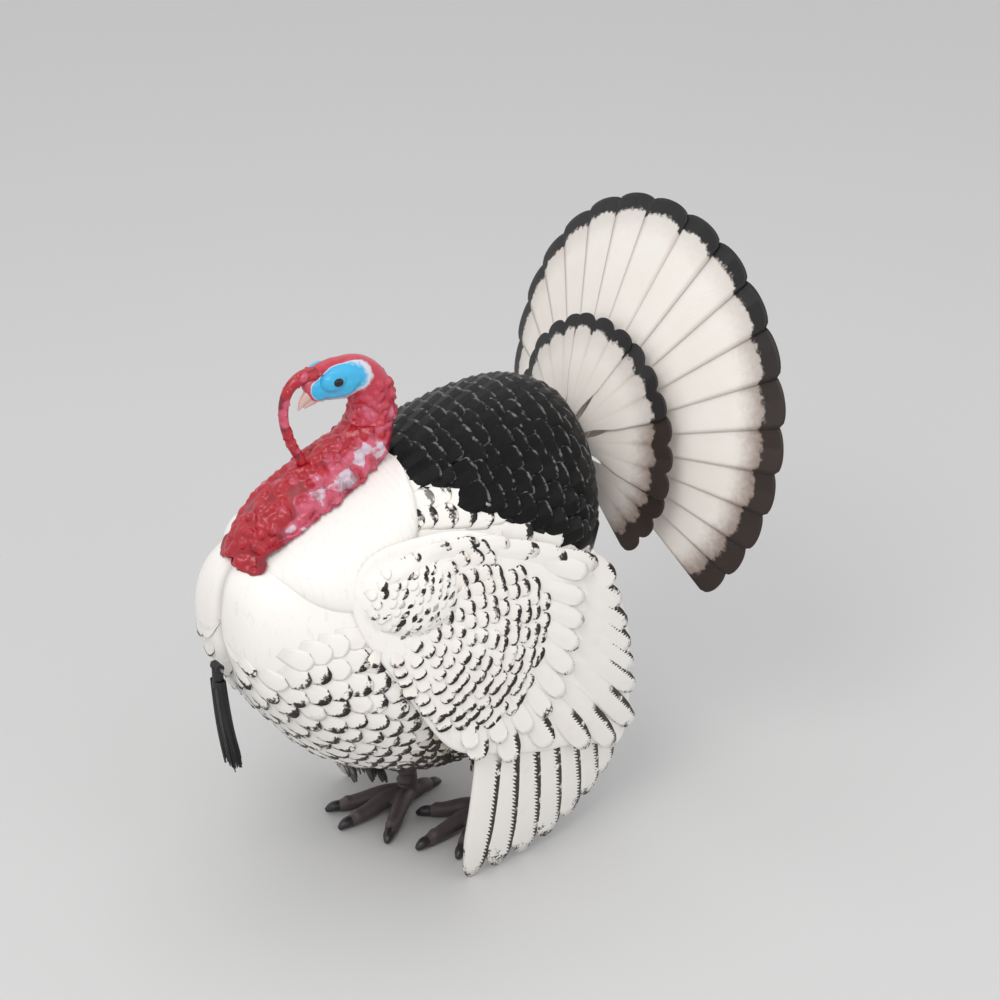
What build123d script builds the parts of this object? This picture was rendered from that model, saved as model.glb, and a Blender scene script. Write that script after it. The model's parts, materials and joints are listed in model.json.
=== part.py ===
"""Full-strut turkey decoy: hollow moulded body, plug-in neck, turning head, swinging beard and a folding tail fan.

Millimetres. +Z is up, the beak points to -Y, and the bird's left side is +X.
The pieces are drawn about a point between the feet; save() then moves them so that the origin is on the
ground under the middle of the bird's length.
"""

import os
from math import cos, radians, sin, sqrt, tan

from build123d import *

os.makedirs("parts", exist_ok=True)

# ---------------------------------------------------------------- driving dimensions
MIDDLE_Y = 7.1              # middle of the length, from the beard to the tips of the fan
WALL = 3.5                  # moulded shell thickness
GAP = 0.6                   # air between neighbouring mouldings
RUNNING = 0.05              # radial clearance of a turning fit
SCREW_R, HEAD_R, HEAD_H = 2.0, 4.0, 2.5
CLEAR = 0.1                 # radial clearance of a screw or a spigot in its hole
BLANK = 60.0                # generous length for cutting tools and blanks

# Body: upright ellipses from breast to rump as (y, centre height, half width, half height)
BODY = [
    (-262, 322, 34, 38),
    (-250, 312, 60, 62),
    (-225, 299, 84, 86),
    (-185, 284, 104, 120),
    (-130, 277, 120, 151),
    (-60, 281, 130, 178),
    (10, 290, 133, 193),
    (65, 306, 127, 180),
    (100, 328, 110, 150),
    (120, 350, 90, 115),
    (130, 368, 72, 84),
]
COVER_EDGE = [(-58, 421), (111, 325)]       # side view line where back cover meets body shell
SHELL_BOSSES = [(-196, 188), (58, 132)]     # side view centres of the screws that join the halves
BOSS_R, BOSS_X = 10.0, 20.0                 # bosses reach this far either side of the split
JOINING_SEAT_X, JOINING_LENGTH = 13.0, 24.0
COVER_SCREW_Y = (-20, 70)
COVER_POST_R, COVER_POST_REACH, COVER_POST_INSET = 8.0, 18.0, 9.0
COVER_SEAT, COVER_SCREW_LENGTH = 8.0, 20.0  # seat height over the cover edge

# Wings: a skin cut from one large ellipsoid, with the primaries cut from a second skin just inside it
WING_CENTRE = (0, -10, 200)
WING_HALF = (150, 280, 330)
WING_SKIN = 4.0
WING_BLANK_X = (60, 170)                    # blanks for one wing lie between these
WING_BOSS_R = 7.0
WING_OUTLINE = [                            # side view, clockwise from the shoulder
    (-174, 350), (-155, 388), (-110, 402), (-58, 400), (14, 368), (105, 312), (138, 240), (146, 158),
    (140, 92), (80, 122), (20, 140), (-40, 158), (-88, 180), (-118, 220), (-150, 280),
]
PRIMARY_OUTLINE = [(-76, 210), (-81, 115), (-66, 0), (-44, 0), (36, 8), (100, 36), (122, 112), (100, 210)]
WING_SCREWS = [(-70, 320), (40, 290)]       # side view
PRIMARY_RIVETS = [(-45, 190), (55, 180)]
WING_SCREW_LENGTH, RIVET_LENGTH = 26.0, 12.0

# Neck and head
RUFF_T = 9.0                                # how far the ruff stands out from the body
RUFF_OUTLINE = [(-238, 372), (-226, 345), (-190, 338), (-140, 352), (-98, 388), (-74, 428), (-74, 480), (-238, 480)]
NECK_SPINE = [(-226, 368, 22), (-200, 396, 32), (-165, 416, 33), (-125, 436, 31), (-92, 462, 27), (-84, 486, 23)]
NECK_JOINT_Z = 482.0
PLUG_AT, PLUG_TILT, PLUG_R, PLUG_DEPTH = (-160, 414), 25.0, 16.0, 46.0
PLUG_TOP = 22.0                             # the plug runs this far up inside the neck
SOCKET_WALL, SOCKET_LENGTH, SOCKET_FLANGE, SOCKET_FLOOR = 4.0, 90.0, 6.0, 4.0
SOCKET_HOLE = (40, 80)                      # how far below the plug's seat the hole starts, and its length
SWIVEL_Y, SWIVEL_R, SWIVEL_FOOT, SWIVEL_TOP = -86.0, 6.0, 461.0, 516.0
NAPE_SPINE = [(-86, 482.4, 22), (-83, 500, 21), (-88, 518, 20), (-102, 530, 18)]
HEAD = [                                    # ellipses as for the body
    (-157, 524, 8, 8), (-151, 526, 14, 14), (-136, 529, 20, 20), (-118, 531, 21, 21), (-100, 529, 19, 20), (-88, 526, 14, 16),
]
BEAK_ROOT, BEAK_TIP = (0, -146, 523), (3, -168, 511)
SNOOD_PATH = [(0, -150, 541), (-1, -171, 533), (-2, -181, 514), (-1, -180, 494), (2, -174, 474), (5, -168, 458)]
SNOOD_R = 5.0
EYE_AT, EYE_R = (19, -131, 537), 5.0

# Beard
BEARD_PIN, BEARD_PIN_R = (-265, 268), 1.5
BEARD_EAR_X, BEARD_EAR_T, BEARD_EAR_R = 6.5, 3.5, 4.5
FERRULE_R, FERRULE_LENGTH, TANG_R, TANG_FOOT, TANG_LENGTH = 5.5, 22.0, 4.0, 240.0, 17.0
BEARD_STATIONS = [(247, 8, 5), (225, 10, 6), (185, 11, 6), (160, 9, 5), (149, 4, 3)]    # height, half width, half depth

# Legs: where each foot meets the ground, and its toes as (angle from straight ahead towards +X, length)
FEET = {"right": (-37, -26), "left": (37, 24)}
TOES = {
    "right": [(-20, 84), (4, 86), (41, 80), (186, 34)],
    "left": [(-36, 66), (6, 92), (34, 80), (174, 34)],
}
TOE_ROOT_R, TOE_TIP_R, ANKLE_R = 9.0, 5.0, 12.0
LEG_R, LEG_TOP, LEG_SCREW_Z = 10.0, 160.0, 145.0
SHANK_Z, LEG_TUBE_FOOT, LEG_TUBE_WALL = 60.0, 90.0, 4.0
LEG_CROSS = 16.0                            # half length of the hole for a leg's cross screw

# Ground stake socket
STAKE_Y, STAKE_R, STAKE_DEPTH, STAKE_MOUTH = 4.0, 5.0, 70.0, 92.0
STAKE_WALL, STAKE_FLANGE, STAKE_FLANGE_T, STAKE_FLOOR = 4.0, 7.0, 16.0, 5.0

# Tail fan, measured along the hub axis from the tilt hinge
HINGE_AT, HINGE_R, HUB_TILT = (141, 392), 3.0, 10.0
BRACKET_PLATE, BRACKET_T = (66, 46), 3.0
BRACKET_SCREWS = [(-26, -16), (26, -16), (-26, 16), (26, 16)]
EAR_X, EAR_T, EAR_R = 9.0, 4.0, 6.0
PLATE_AT, PLATE_R, PLATE_T = 6.5, 14.0, 3.0
KNUCKLE_SLACK = 0.5                         # air between hub knuckle and ears
HUB_SCREW_LENGTH = 15.0
POST_R, EYE_RING_R, FLAT_R = 4.0, 10.0, 30.0
COVERT_AT, COVERTS_PER_SIDE, COVERT_STEP = 10.0, 3, 40.0
COVERT_T, COVERT_LAYER, COVERT_LEAN, COVERT_HALF_ANGLE = 1.2, 1.6, 0.30, 21.5
COVERT_FAN_R, COVERT_RISE, COVERT_ROUND = 127.0, 2.0, 12.0
FEATHER_AT, FEATHERS_PER_SIDE, FEATHER_STEP = 21.2, 10, 12.3
FEATHER_T, FEATHER_LAYER, FEATHER_LEAN, FEATHER_HALF_ANGLE = 1.0, 1.2, 0.36, 7.2
FAN_R, FAN_RISE, FEATHER_ROUND = 215.0, 35.0, 12.0


def save(piece, name):
    """Label one finished sub-part, bring it to the origin and write its STEP file."""
    piece = piece.moved(Location((0, -MIDDLE_Y, 0)))
    piece.label = name
    export_step(piece, f"parts/{name}.step")


def egg(stations, grow=0.0):
    """Solid loft through upright ellipses; grow swells it evenly, or shrinks it if negative."""
    ends = {stations[0][0]: -grow, stations[-1][0]: grow}
    with BuildPart() as solid:
        for y, z, half_width, half_height in stations:
            with BuildSketch(Plane.XZ.offset(-y - ends.get(y, 0.0))):
                with Locations((0, z)):
                    Ellipse(half_width + grow, half_height + grow)
        loft()
    return solid.part


def tube(spine):
    """Solid loft through circles along a side view spine of (y, z, radius)."""
    with BuildPart() as solid:
        for i, (y, z, radius) in enumerate(spine):
            before, after = spine[max(i - 1, 0)], spine[min(i + 1, len(spine) - 1)]
            heading = Vector(0, after[0] - before[0], after[1] - before[1])
            with BuildSketch(Plane(origin=(0, y, z), x_dir=(1, 0, 0), z_dir=heading)):
                Circle(radius)
        loft()
    return solid.part


def rod(start, direction, radius, length):
    """Cylinder from start along direction."""
    with BuildPart() as solid:
        with BuildSketch(Plane(origin=start, z_dir=direction)):
            Circle(radius)
        extrude(amount=length)
    return solid.part


def taper(start, end, start_radius, end_radius):
    """Round bar between two points, with a ball at each end."""
    heading = Vector(*end) - Vector(*start)
    with BuildPart() as solid:
        with BuildSketch(Plane(origin=start, z_dir=heading)):
            Circle(start_radius)
        with BuildSketch(Plane(origin=end, z_dir=heading)):
            Circle(end_radius)
        loft()
        for place, radius in ((start, start_radius), (end, end_radius)):
            with Locations(place):
                Sphere(radius)
    return solid.part


def collar(start, direction, radius, length):
    """Disc that lies against the inside of the shell."""
    with BuildPart() as solid:
        add(rod(start, direction, radius, length))
        add(egg(BODY, -WALL - GAP), mode=Mode.INTERSECT)
    return solid.part


def ellipsoid(centre, half, grow=0.0):
    """Ball stretched to three half sizes."""
    with BuildPart() as solid:
        Sphere(100)
        scale(by=tuple((h + grow) / 100 for h in half))
    return solid.part.moved(Location(centre))


def side_slab(outline, x0, x1, smooth=False):
    """Slab between two X values with a side view outline of (y, z) points."""
    with BuildPart() as solid:
        with BuildSketch(Plane.YZ.offset(x0)):
            with BuildLine():
                if smooth:
                    Spline(*outline, periodic=True)
                else:
                    Polyline(*outline, close=True)
            make_face()
        extrude(amount=x1 - x0)
    return solid.part


def screw(seat, direction, length):
    """Pan-head screw: seat is the underside of the head, direction the way the shank points."""
    with BuildPart() as solid:
        add(rod(seat, direction, SCREW_R, length))
        add(rod(seat, -Vector(*direction), HEAD_R, HEAD_H))
    return solid.part


def screw_hole(seat, direction, length, access=30.0):
    """Space for a screw, with clearance, and for the driver behind its head."""
    with BuildPart() as solid:
        add(rod(seat, direction, SCREW_R + CLEAR, length + 0.5))
        add(rod(seat, -Vector(*direction), HEAD_R + 0.5, access))
    return solid.part


def group(name, pieces):
    """Write several separate solids as one node."""
    save(Compound([piece.solid() for piece in pieces]), name)


body_outer = egg(BODY)
body_inner = egg(BODY, -WALL)
body_clear = egg(BODY, GAP)

# ---------------------------------------------------------------- body shell and back cover
(edge_y0, edge_z0), (edge_y1, edge_z1) = COVER_EDGE
cover_up = Vector(0, edge_z0 - edge_z1, edge_y1 - edge_y0).normalized()
cover_plane = Plane(origin=(0, edge_y0, edge_z0), x_dir=(1, 0, 0), z_dir=cover_up)


def side_width(y, z, stations=BODY):
    """Half width of the lofted body at a side view point, by straight interpolation of its stations."""
    for (y0, *a), (y1, *b) in zip(stations, stations[1:]):
        if y0 <= y <= y1:
            t = (y - y0) / (y1 - y0)
            centre, half_width, half_height = (p + t * (q - p) for p, q in zip(a, b))
            return half_width * sqrt(max(1 - ((z - centre) / half_height) ** 2, 0))
    return 0.0


def on_cover_edge(y):
    """Height of the cover edge at y."""
    return edge_z0 + (y - edge_y0) * (edge_z1 - edge_z0) / (edge_y1 - edge_y0)


cover_posts = []
for y in COVER_SCREW_Y:
    for side in (-1, 1):
        cover_posts.append(Vector(side * (side_width(y, on_cover_edge(y)) - COVER_POST_INSET), y, on_cover_edge(y)))

plug_axis = Vector(0, -sin(radians(PLUG_TILT)), cos(radians(PLUG_TILT)))
plug_seat = Vector(0, *PLUG_AT)
(hole_below, hole_length) = SOCKET_HOLE
socket_hole = rod(plug_seat - plug_axis * hole_below, plug_axis, PLUG_R + SOCKET_WALL + CLEAR, hole_length)
beard_pin_hole = rod((-BLANK / 2, *BEARD_PIN), (1, 0, 0), BEARD_PIN_R, BLANK)
leg_cross_holes = {}
for side, (x, y) in FEET.items():
    leg_cross_holes[side] = rod((x, y + LEG_CROSS, LEG_SCREW_Z), (0, -1, 0), SCREW_R + CLEAR, 2 * LEG_CROSS)

with BuildPart() as full_shell:
    add(body_outer)
    add(body_inner, mode=Mode.SUBTRACT)
    # bosses for the screws that join the halves, one across the split at each place
    with BuildSketch(Plane.YZ):
        with Locations(*SHELL_BOSSES):
            Circle(BOSS_R)
    extrude(amount=BOSS_X, both=True)
    # posts under and over the cover edge
    for post in cover_posts:
        add(rod(post - cover_up * COVER_POST_REACH, cover_up, COVER_POST_R, 2 * COVER_POST_REACH))
    # tubes that take the leg spigots
    for x, y in FEET.values():
        add(rod((x, y, LEG_TUBE_FOOT), (0, 0, 1), LEG_R + LEG_TUBE_WALL, LEG_TOP - LEG_TUBE_FOOT))
    # trim whatever stands outside the moulding
    add(body_outer, mode=Mode.INTERSECT)
    for side, (x, y) in FEET.items():
        add(rod((x, y, SHANK_Z), (0, 0, 1), LEG_R + CLEAR, LEG_TOP - SHANK_Z + 1), mode=Mode.SUBTRACT)
        add(leg_cross_holes[side], mode=Mode.SUBTRACT)
    # neck socket opening, stake socket opening and beard bracket opening
    add(socket_hole, mode=Mode.SUBTRACT)
    add(rod((0, STAKE_Y, STAKE_MOUTH - BLANK / 2), (0, 0, 1), STAKE_R + STAKE_WALL + CLEAR, BLANK), mode=Mode.SUBTRACT)
    # joining screws run along X from inside the right half
    for y, z in SHELL_BOSSES:
        seat = (JOINING_SEAT_X, y, z)
        add(screw_hole(seat, (-1, 0, 0), JOINING_LENGTH + 4, access=BOSS_X - JOINING_SEAT_X + 1), mode=Mode.SUBTRACT)
    for post in cover_posts:
        seat = post + cover_up * COVER_SEAT
        add(screw_hole(seat, -cover_up, COVER_SCREW_LENGTH + 2, access=1.5 * BLANK), mode=Mode.SUBTRACT)
    for side in (-1, 1):
        for y, z in WING_SCREWS:
            add(rod((side * 1.5 * BLANK, y, z), (side, 0, 0), SCREW_R + CLEAR, BLANK), mode=Mode.SUBTRACT)

    # ears that carry the beard pin
    for x in (-BEARD_EAR_X - BEARD_EAR_T, BEARD_EAR_X):
        with BuildSketch(Plane.YZ.offset(x)):
            with Locations(BEARD_PIN):
                Circle(BEARD_EAR_R)
            with Locations((BEARD_PIN[0] + 8, BEARD_PIN[1] + 3)):
                Rectangle(18, 9)
        extrude(amount=BEARD_EAR_T)
    add(beard_pin_hole, mode=Mode.SUBTRACT)

with BuildPart() as back_cover:
    add(full_shell.part)
    split(bisect_by=cover_plane.offset(GAP / 2), keep=Keep.TOP)
    for x, z in BRACKET_SCREWS:
        add(rod((x, BODY[-1][0] + 1, HINGE_AT[1] - z), (0, -1, 0), SCREW_R + CLEAR, 16), mode=Mode.SUBTRACT)
save(back_cover.part, "back_cover")

with BuildPart() as lower_shell:
    add(full_shell.part)
    split(bisect_by=cover_plane.offset(-GAP / 2), keep=Keep.BOTTOM)

with BuildPart() as body_shell_left:
    add(lower_shell.part)
    split(bisect_by=Plane.YZ, keep=Keep.TOP)
save(body_shell_left.part, "body_shell_left")

with BuildPart() as body_shell_right:
    add(lower_shell.part)
    split(bisect_by=Plane.YZ, keep=Keep.BOTTOM)
save(body_shell_right.part, "body_shell_right")

group("shell_screws", [screw((JOINING_SEAT_X, y, z), (-1, 0, 0), JOINING_LENGTH) for y, z in SHELL_BOSSES])
cover_screws = [screw(post + cover_up * COVER_SEAT, -cover_up, COVER_SCREW_LENGTH) for post in cover_posts]
group("cover_screws", cover_screws)

# ---------------------------------------------------------------- neck ruff and socket
ruff_outer = egg(BODY, RUFF_T)

with BuildPart() as neck_ruff:
    add(side_slab(RUFF_OUTLINE, -140, 140))
    add(ruff_outer, mode=Mode.INTERSECT)
    add(body_clear, mode=Mode.SUBTRACT)
    for side in (-1, 1):
        x0, x1 = sorted(side * x for x in WING_BLANK_X)
        beside_wing = side_slab(WING_OUTLINE, x0, x1, smooth=True)
        add(beside_wing.moved(Location((0, -GAP, GAP))), mode=Mode.SUBTRACT)
    add(socket_hole, mode=Mode.SUBTRACT)
save(neck_ruff.part, "neck_ruff")

with BuildPart() as neck_socket:
    socket_foot = plug_seat - plug_axis * (PLUG_DEPTH + 2)
    add(rod(socket_foot - plug_axis * SOCKET_FLOOR, plug_axis, PLUG_R + SOCKET_WALL, SOCKET_LENGTH))
    add(ruff_outer, mode=Mode.INTERSECT)
    add(collar(plug_seat - plug_axis * 14, plug_axis, PLUG_R + SOCKET_WALL + SOCKET_FLANGE, 30))
    add(rod(socket_foot, plug_axis, PLUG_R + RUNNING, SOCKET_LENGTH), mode=Mode.SUBTRACT)
save(neck_socket.part, "neck_socket")

# ---------------------------------------------------------------- wings and primaries
def on_wing(y, z, below):
    """Point a little below the outer face of the left wing."""
    along = (y - WING_CENTRE[1]) / WING_HALF[1]
    above = (z - WING_CENTRE[2]) / WING_HALF[2]
    return (WING_HALF[0] * sqrt(1 - along ** 2 - above ** 2) - below, y, z)


wing_screw_seats = [on_wing(y, z, HEAD_H + 0.5) for y, z in WING_SCREWS]
rivet_seats = [on_wing(y, z, HEAD_H - 0.5) for y, z in PRIMARY_RIVETS]

with BuildPart() as wing_left:
    add(side_slab(WING_OUTLINE, *WING_BLANK_X, smooth=True))
    add(ellipsoid(WING_CENTRE, WING_HALF), mode=Mode.INTERSECT)
    add(ellipsoid(WING_CENTRE, WING_HALF, -WING_SKIN), mode=Mode.SUBTRACT)
    for x, y, z in wing_screw_seats:
        add(rod((100, y, z), (1, 0, 0), WING_BOSS_R, x - 101))
    add(body_clear, mode=Mode.SUBTRACT)
    for seat in wing_screw_seats:
        add(screw_hole(seat, (-1, 0, 0), WING_SCREW_LENGTH + 10), mode=Mode.SUBTRACT)
    for seat in rivet_seats:
        add(screw_hole(seat, (-1, 0, 0), RIVET_LENGTH), mode=Mode.SUBTRACT)
save(wing_left.part, "wing_left")

with BuildPart() as primaries_left:
    add(side_slab(PRIMARY_OUTLINE, *WING_BLANK_X))
    add(ellipsoid(WING_CENTRE, WING_HALF, -WING_SKIN - GAP), mode=Mode.INTERSECT)
    add(ellipsoid(WING_CENTRE, WING_HALF, -2 * WING_SKIN - GAP), mode=Mode.SUBTRACT)
    for seat in rivet_seats:
        add(screw_hole(seat, (-1, 0, 0), RIVET_LENGTH), mode=Mode.SUBTRACT)
save(primaries_left.part, "primaries_left")

save(mirror(wing_left.part, about=Plane.YZ), "wing_right")
save(mirror(primaries_left.part, about=Plane.YZ), "primaries_right")

wing_screws = [screw(seat, (-1, 0, 0), WING_SCREW_LENGTH) for seat in wing_screw_seats]
rivets = [screw(seat, (-1, 0, 0), RIVET_LENGTH) for seat in rivet_seats]
group("wing_screws", wing_screws + [mirror(piece, about=Plane.YZ) for piece in wing_screws])
group("primary_rivets", rivets + [mirror(piece, about=Plane.YZ) for piece in rivets])

# ---------------------------------------------------------------- legs and stake socket
for side, (x, y) in FEET.items():
    with BuildPart() as leg:
        add(taper((x, y, 6), (x, y, SHANK_Z), ANKLE_R, LEG_R))
        add(rod((x, y, SHANK_Z), (0, 0, 1), LEG_R, LEG_TOP - SHANK_Z - 2))
        for angle, length in TOES[side]:
            tip = (x + length * sin(radians(angle)), y - length * cos(radians(angle)), 3)
            add(taper((x, y, 5), tip, TOE_ROOT_R, TOE_TIP_R))
        # flat soles on the ground
        split(bisect_by=Plane.XY, keep=Keep.TOP)
        add(leg_cross_holes[side], mode=Mode.SUBTRACT)
    save(leg.part, f"leg_{side}")
group("leg_screws", [screw((x, y + LEG_R + 4.2, LEG_SCREW_Z), (0, -1, 0), 26) for x, y in FEET.values()])

with BuildPart() as stake_socket:
    add(rod((0, STAKE_Y, STAKE_MOUTH), (0, 0, 1), STAKE_R + STAKE_WALL, STAKE_DEPTH + STAKE_FLOOR))
    add(collar((0, STAKE_Y, STAKE_MOUTH), (0, 0, 1), STAKE_R + STAKE_WALL + STAKE_FLANGE, STAKE_FLANGE_T))
    add(rod((0, STAKE_Y, STAKE_MOUTH - 1), (0, 0, 1), STAKE_R, STAKE_DEPTH + 1), mode=Mode.SUBTRACT)
save(stake_socket.part, "stake_socket")

# ---------------------------------------------------------------- neck
swivel_post = rod((0, SWIVEL_Y, SWIVEL_FOOT), (0, 0, 1), SWIVEL_R, SWIVEL_TOP - SWIVEL_FOOT)
save(swivel_post, "swivel_post")

with BuildPart() as neck:
    add(tube(NECK_SPINE))
    split(bisect_by=Plane.XY.offset(NECK_JOINT_Z), keep=Keep.BOTTOM)
    add(egg(BODY, RUFF_T + 1), mode=Mode.SUBTRACT)
    add(rod(plug_seat - plug_axis * PLUG_DEPTH, plug_axis, PLUG_R, PLUG_DEPTH + PLUG_TOP))
    add(rod((0, SWIVEL_Y, SWIVEL_FOOT), (0, 0, 1), SWIVEL_R, BLANK), mode=Mode.SUBTRACT)
save(neck.part, "neck")

# ---------------------------------------------------------------- head
skull = egg(HEAD)
beak_solid = taper(BEAK_ROOT, BEAK_TIP, 9, 3)

with BuildPart() as head:
    add(tube(NAPE_SPINE))
    add(skull)
    split(bisect_by=Plane.XY.offset(NECK_JOINT_Z + 0.4), keep=Keep.TOP)
    add(beak_solid, mode=Mode.SUBTRACT)
    add(rod((0, SWIVEL_Y, 480), (0, 0, 1), SWIVEL_R + RUNNING, SWIVEL_TOP - 479.5), mode=Mode.SUBTRACT)
    for side in (-1, 1):
        with Locations((side * EYE_AT[0], EYE_AT[1], EYE_AT[2])):
            Sphere(EYE_R + 0.05, mode=Mode.SUBTRACT)
save(head.part, "head")
save(beak_solid, "beak")

with BuildPart() as snood:
    with BuildLine() as snood_line:
        Spline(*SNOOD_PATH)
    with BuildSketch(Plane(origin=snood_line.line @ 0, z_dir=snood_line.line % 0)):
        Circle(SNOOD_R)
    sweep()
    for end in (SNOOD_PATH[0], SNOOD_PATH[-1]):
        with Locations(end):
            Sphere(SNOOD_R)
    add(head.part, mode=Mode.SUBTRACT)
    add(beak_solid, mode=Mode.SUBTRACT)
save(snood.part.solids().sort_by(SortBy.VOLUME)[-1], "snood")

with BuildPart() as eye:
    with Locations(EYE_AT):
        Sphere(EYE_R)
group("eyes", [eye.part, mirror(eye.part, about=Plane.YZ)])

# ---------------------------------------------------------------- beard
save(rod((-BEARD_EAR_X - BEARD_EAR_T - 1, *BEARD_PIN), (1, 0, 0), BEARD_PIN_R - RUNNING, 22), "beard_pin")

with BuildPart() as beard_ferrule:
    add(rod((-BEARD_EAR_X + 0.5, *BEARD_PIN), (1, 0, 0), BEARD_EAR_R, 2 * BEARD_EAR_X - 1))
    add(rod((0, *BEARD_PIN), (0, 0, -1), FERRULE_R, FERRULE_LENGTH))
    add(beard_pin_hole, mode=Mode.SUBTRACT)
    ferrule_mouth = BEARD_PIN[1] - FERRULE_LENGTH - 1
    add(rod((0, BEARD_PIN[0], ferrule_mouth), (0, 0, 1), TANG_R, TANG_FOOT + TANG_LENGTH - ferrule_mouth + 1),
        mode=Mode.SUBTRACT)
save(beard_ferrule.part, "beard_ferrule")

with BuildPart() as beard:
    for height, half_width, half_depth in BEARD_STATIONS:
        with BuildSketch(Plane.XY.offset(height - 2)):
            with Locations((0, BEARD_PIN[0])):
                Ellipse(half_width, half_depth)
    loft()
    add(rod((0, BEARD_PIN[0], TANG_FOOT), (0, 0, 1), TANG_R - CLEAR, TANG_LENGTH))
save(beard.part, "beard")

# ---------------------------------------------------------------- tail bracket and hub
hinge = Vector(0, *HINGE_AT)
hub_axis = Vector(0, cos(radians(HUB_TILT)), -sin(radians(HUB_TILT)))
hub_plane = Plane(origin=hinge, x_dir=(-1, 0, 0), z_dir=hub_axis)
STACK_END = FEATHER_AT + 2 * FEATHERS_PER_SIDE * FEATHER_LAYER + FEATHER_T
bracket_base = Plane(origin=(0, BODY[-1][0], HINGE_AT[1]), x_dir=(1, 0, 0), z_dir=(0, 1, 0))
plate_back = HINGE_AT[0] - BODY[-1][0]
hinge_hole = rod((-BLANK / 2, *HINGE_AT), (1, 0, 0), HINGE_R, BLANK)

with BuildPart() as tail_bracket:
    with BuildSketch(bracket_base):
        RectangleRounded(*BRACKET_PLATE, 6)
    extrude(amount=BRACKET_T)
    for x in (-EAR_X - EAR_T, EAR_X):
        with BuildSketch(Plane.YZ.offset(x)):
            with Locations(HINGE_AT):
                Circle(EAR_R)
            with Locations((HINGE_AT[0] - plate_back / 2, HINGE_AT[1])):
                Rectangle(plate_back, 2 * EAR_R)
        extrude(amount=EAR_T)
    add(hinge_hole, mode=Mode.SUBTRACT)
    with BuildSketch(bracket_base):
        with Locations(*BRACKET_SCREWS):
            Circle(SCREW_R + CLEAR)
    extrude(amount=BRACKET_T, mode=Mode.SUBTRACT)
save(tail_bracket.part, "tail_bracket")
bracket_seats = [(x, BODY[-1][0] + BRACKET_T, HINGE_AT[1] - z) for x, z in BRACKET_SCREWS]
group("bracket_screws", [screw(seat, (0, -1, 0), 12) for seat in bracket_seats])

with BuildPart() as tail_hinge_pin:
    add(rod((-EAR_X - EAR_T - 1, *HINGE_AT), (1, 0, 0), HINGE_R - RUNNING, 2 * (EAR_X + EAR_T) + 2))
    add(rod((EAR_X + EAR_T + 0.2, *HINGE_AT), (1, 0, 0), HINGE_R + 2, 1.5))
save(tail_hinge_pin.part, "tail_hinge_pin")

with BuildPart() as tail_hub:
    knuckle_width = 2 * (EAR_X - KNUCKLE_SLACK)
    add(rod((-knuckle_width / 2, *HINGE_AT), (1, 0, 0), EAR_R - KNUCKLE_SLACK, knuckle_width))
    with BuildSketch(hub_plane):
        Rectangle(knuckle_width, 2 * (EAR_R - KNUCKLE_SLACK))
    extrude(amount=PLATE_AT + 0.5)
    add(rod(hinge + hub_axis * PLATE_AT, hub_axis, PLATE_R, PLATE_T))
    add(rod(hinge + hub_axis * PLATE_AT, hub_axis, POST_R - RUNNING, STACK_END + 0.4 - PLATE_AT))
    add(hinge_hole, mode=Mode.SUBTRACT)
    add(rod(hinge + hub_axis * (STACK_END - HUB_SCREW_LENGTH - 1), hub_axis, SCREW_R, 20), mode=Mode.SUBTRACT)
save(tail_hub.part, "tail_hub")
save(screw(hinge + hub_axis * (STACK_END + 0.6), -hub_axis, HUB_SCREW_LENGTH).solid(), "hub_screw")


# ---------------------------------------------------------------- tail fan
def fan_sheet(lean, thickness, reach):
    """Disc that is flat round the hub and leans back beyond FLAT_R like a shallow cone."""
    back = lean * (reach - FLAT_R)
    with BuildPart() as sheet:
        with BuildSketch(Plane(origin=hinge, x_dir=hub_plane.y_dir, z_dir=hub_plane.x_dir)):
            with BuildLine():
                Polyline((0, 0), (FLAT_R, 0), (reach, back), (reach, back + thickness),
                         (FLAT_R, thickness), (0, thickness), close=True)
            make_face()
        revolve(axis=Axis(hinge, hub_axis))
    return sheet.part


def blade(sheet, depth, angle, half_angle, fan, rise, corner):
    """One feather cut from the sheet, turned by angle from straight up towards the bird's left."""
    side = rise * sin(radians(angle))
    reach = rise * cos(radians(angle)) + sqrt(fan ** 2 - side ** 2)
    spread = tan(radians(half_angle))
    shoulder = reach - corner
    across = hub_plane.x_dir * cos(radians(angle)) + hub_plane.y_dir * sin(radians(angle))
    with BuildPart() as feather:
        with BuildSketch(Plane(origin=hinge, x_dir=across, z_dir=hub_axis)):
            with BuildLine():
                Polyline((-3, 0), (3, 0), (shoulder * spread, shoulder))
                ThreePointArc((shoulder * spread, shoulder), (0, reach), (-shoulder * spread, shoulder))
                Line((-shoulder * spread, shoulder), (-3, 0))
            make_face()
            Circle(EYE_RING_R)
            Circle(POST_R, mode=Mode.SUBTRACT)
        extrude(amount=200)
        add(sheet.moved(Location(hub_axis * depth)), mode=Mode.INTERSECT)
    return feather.part


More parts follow.
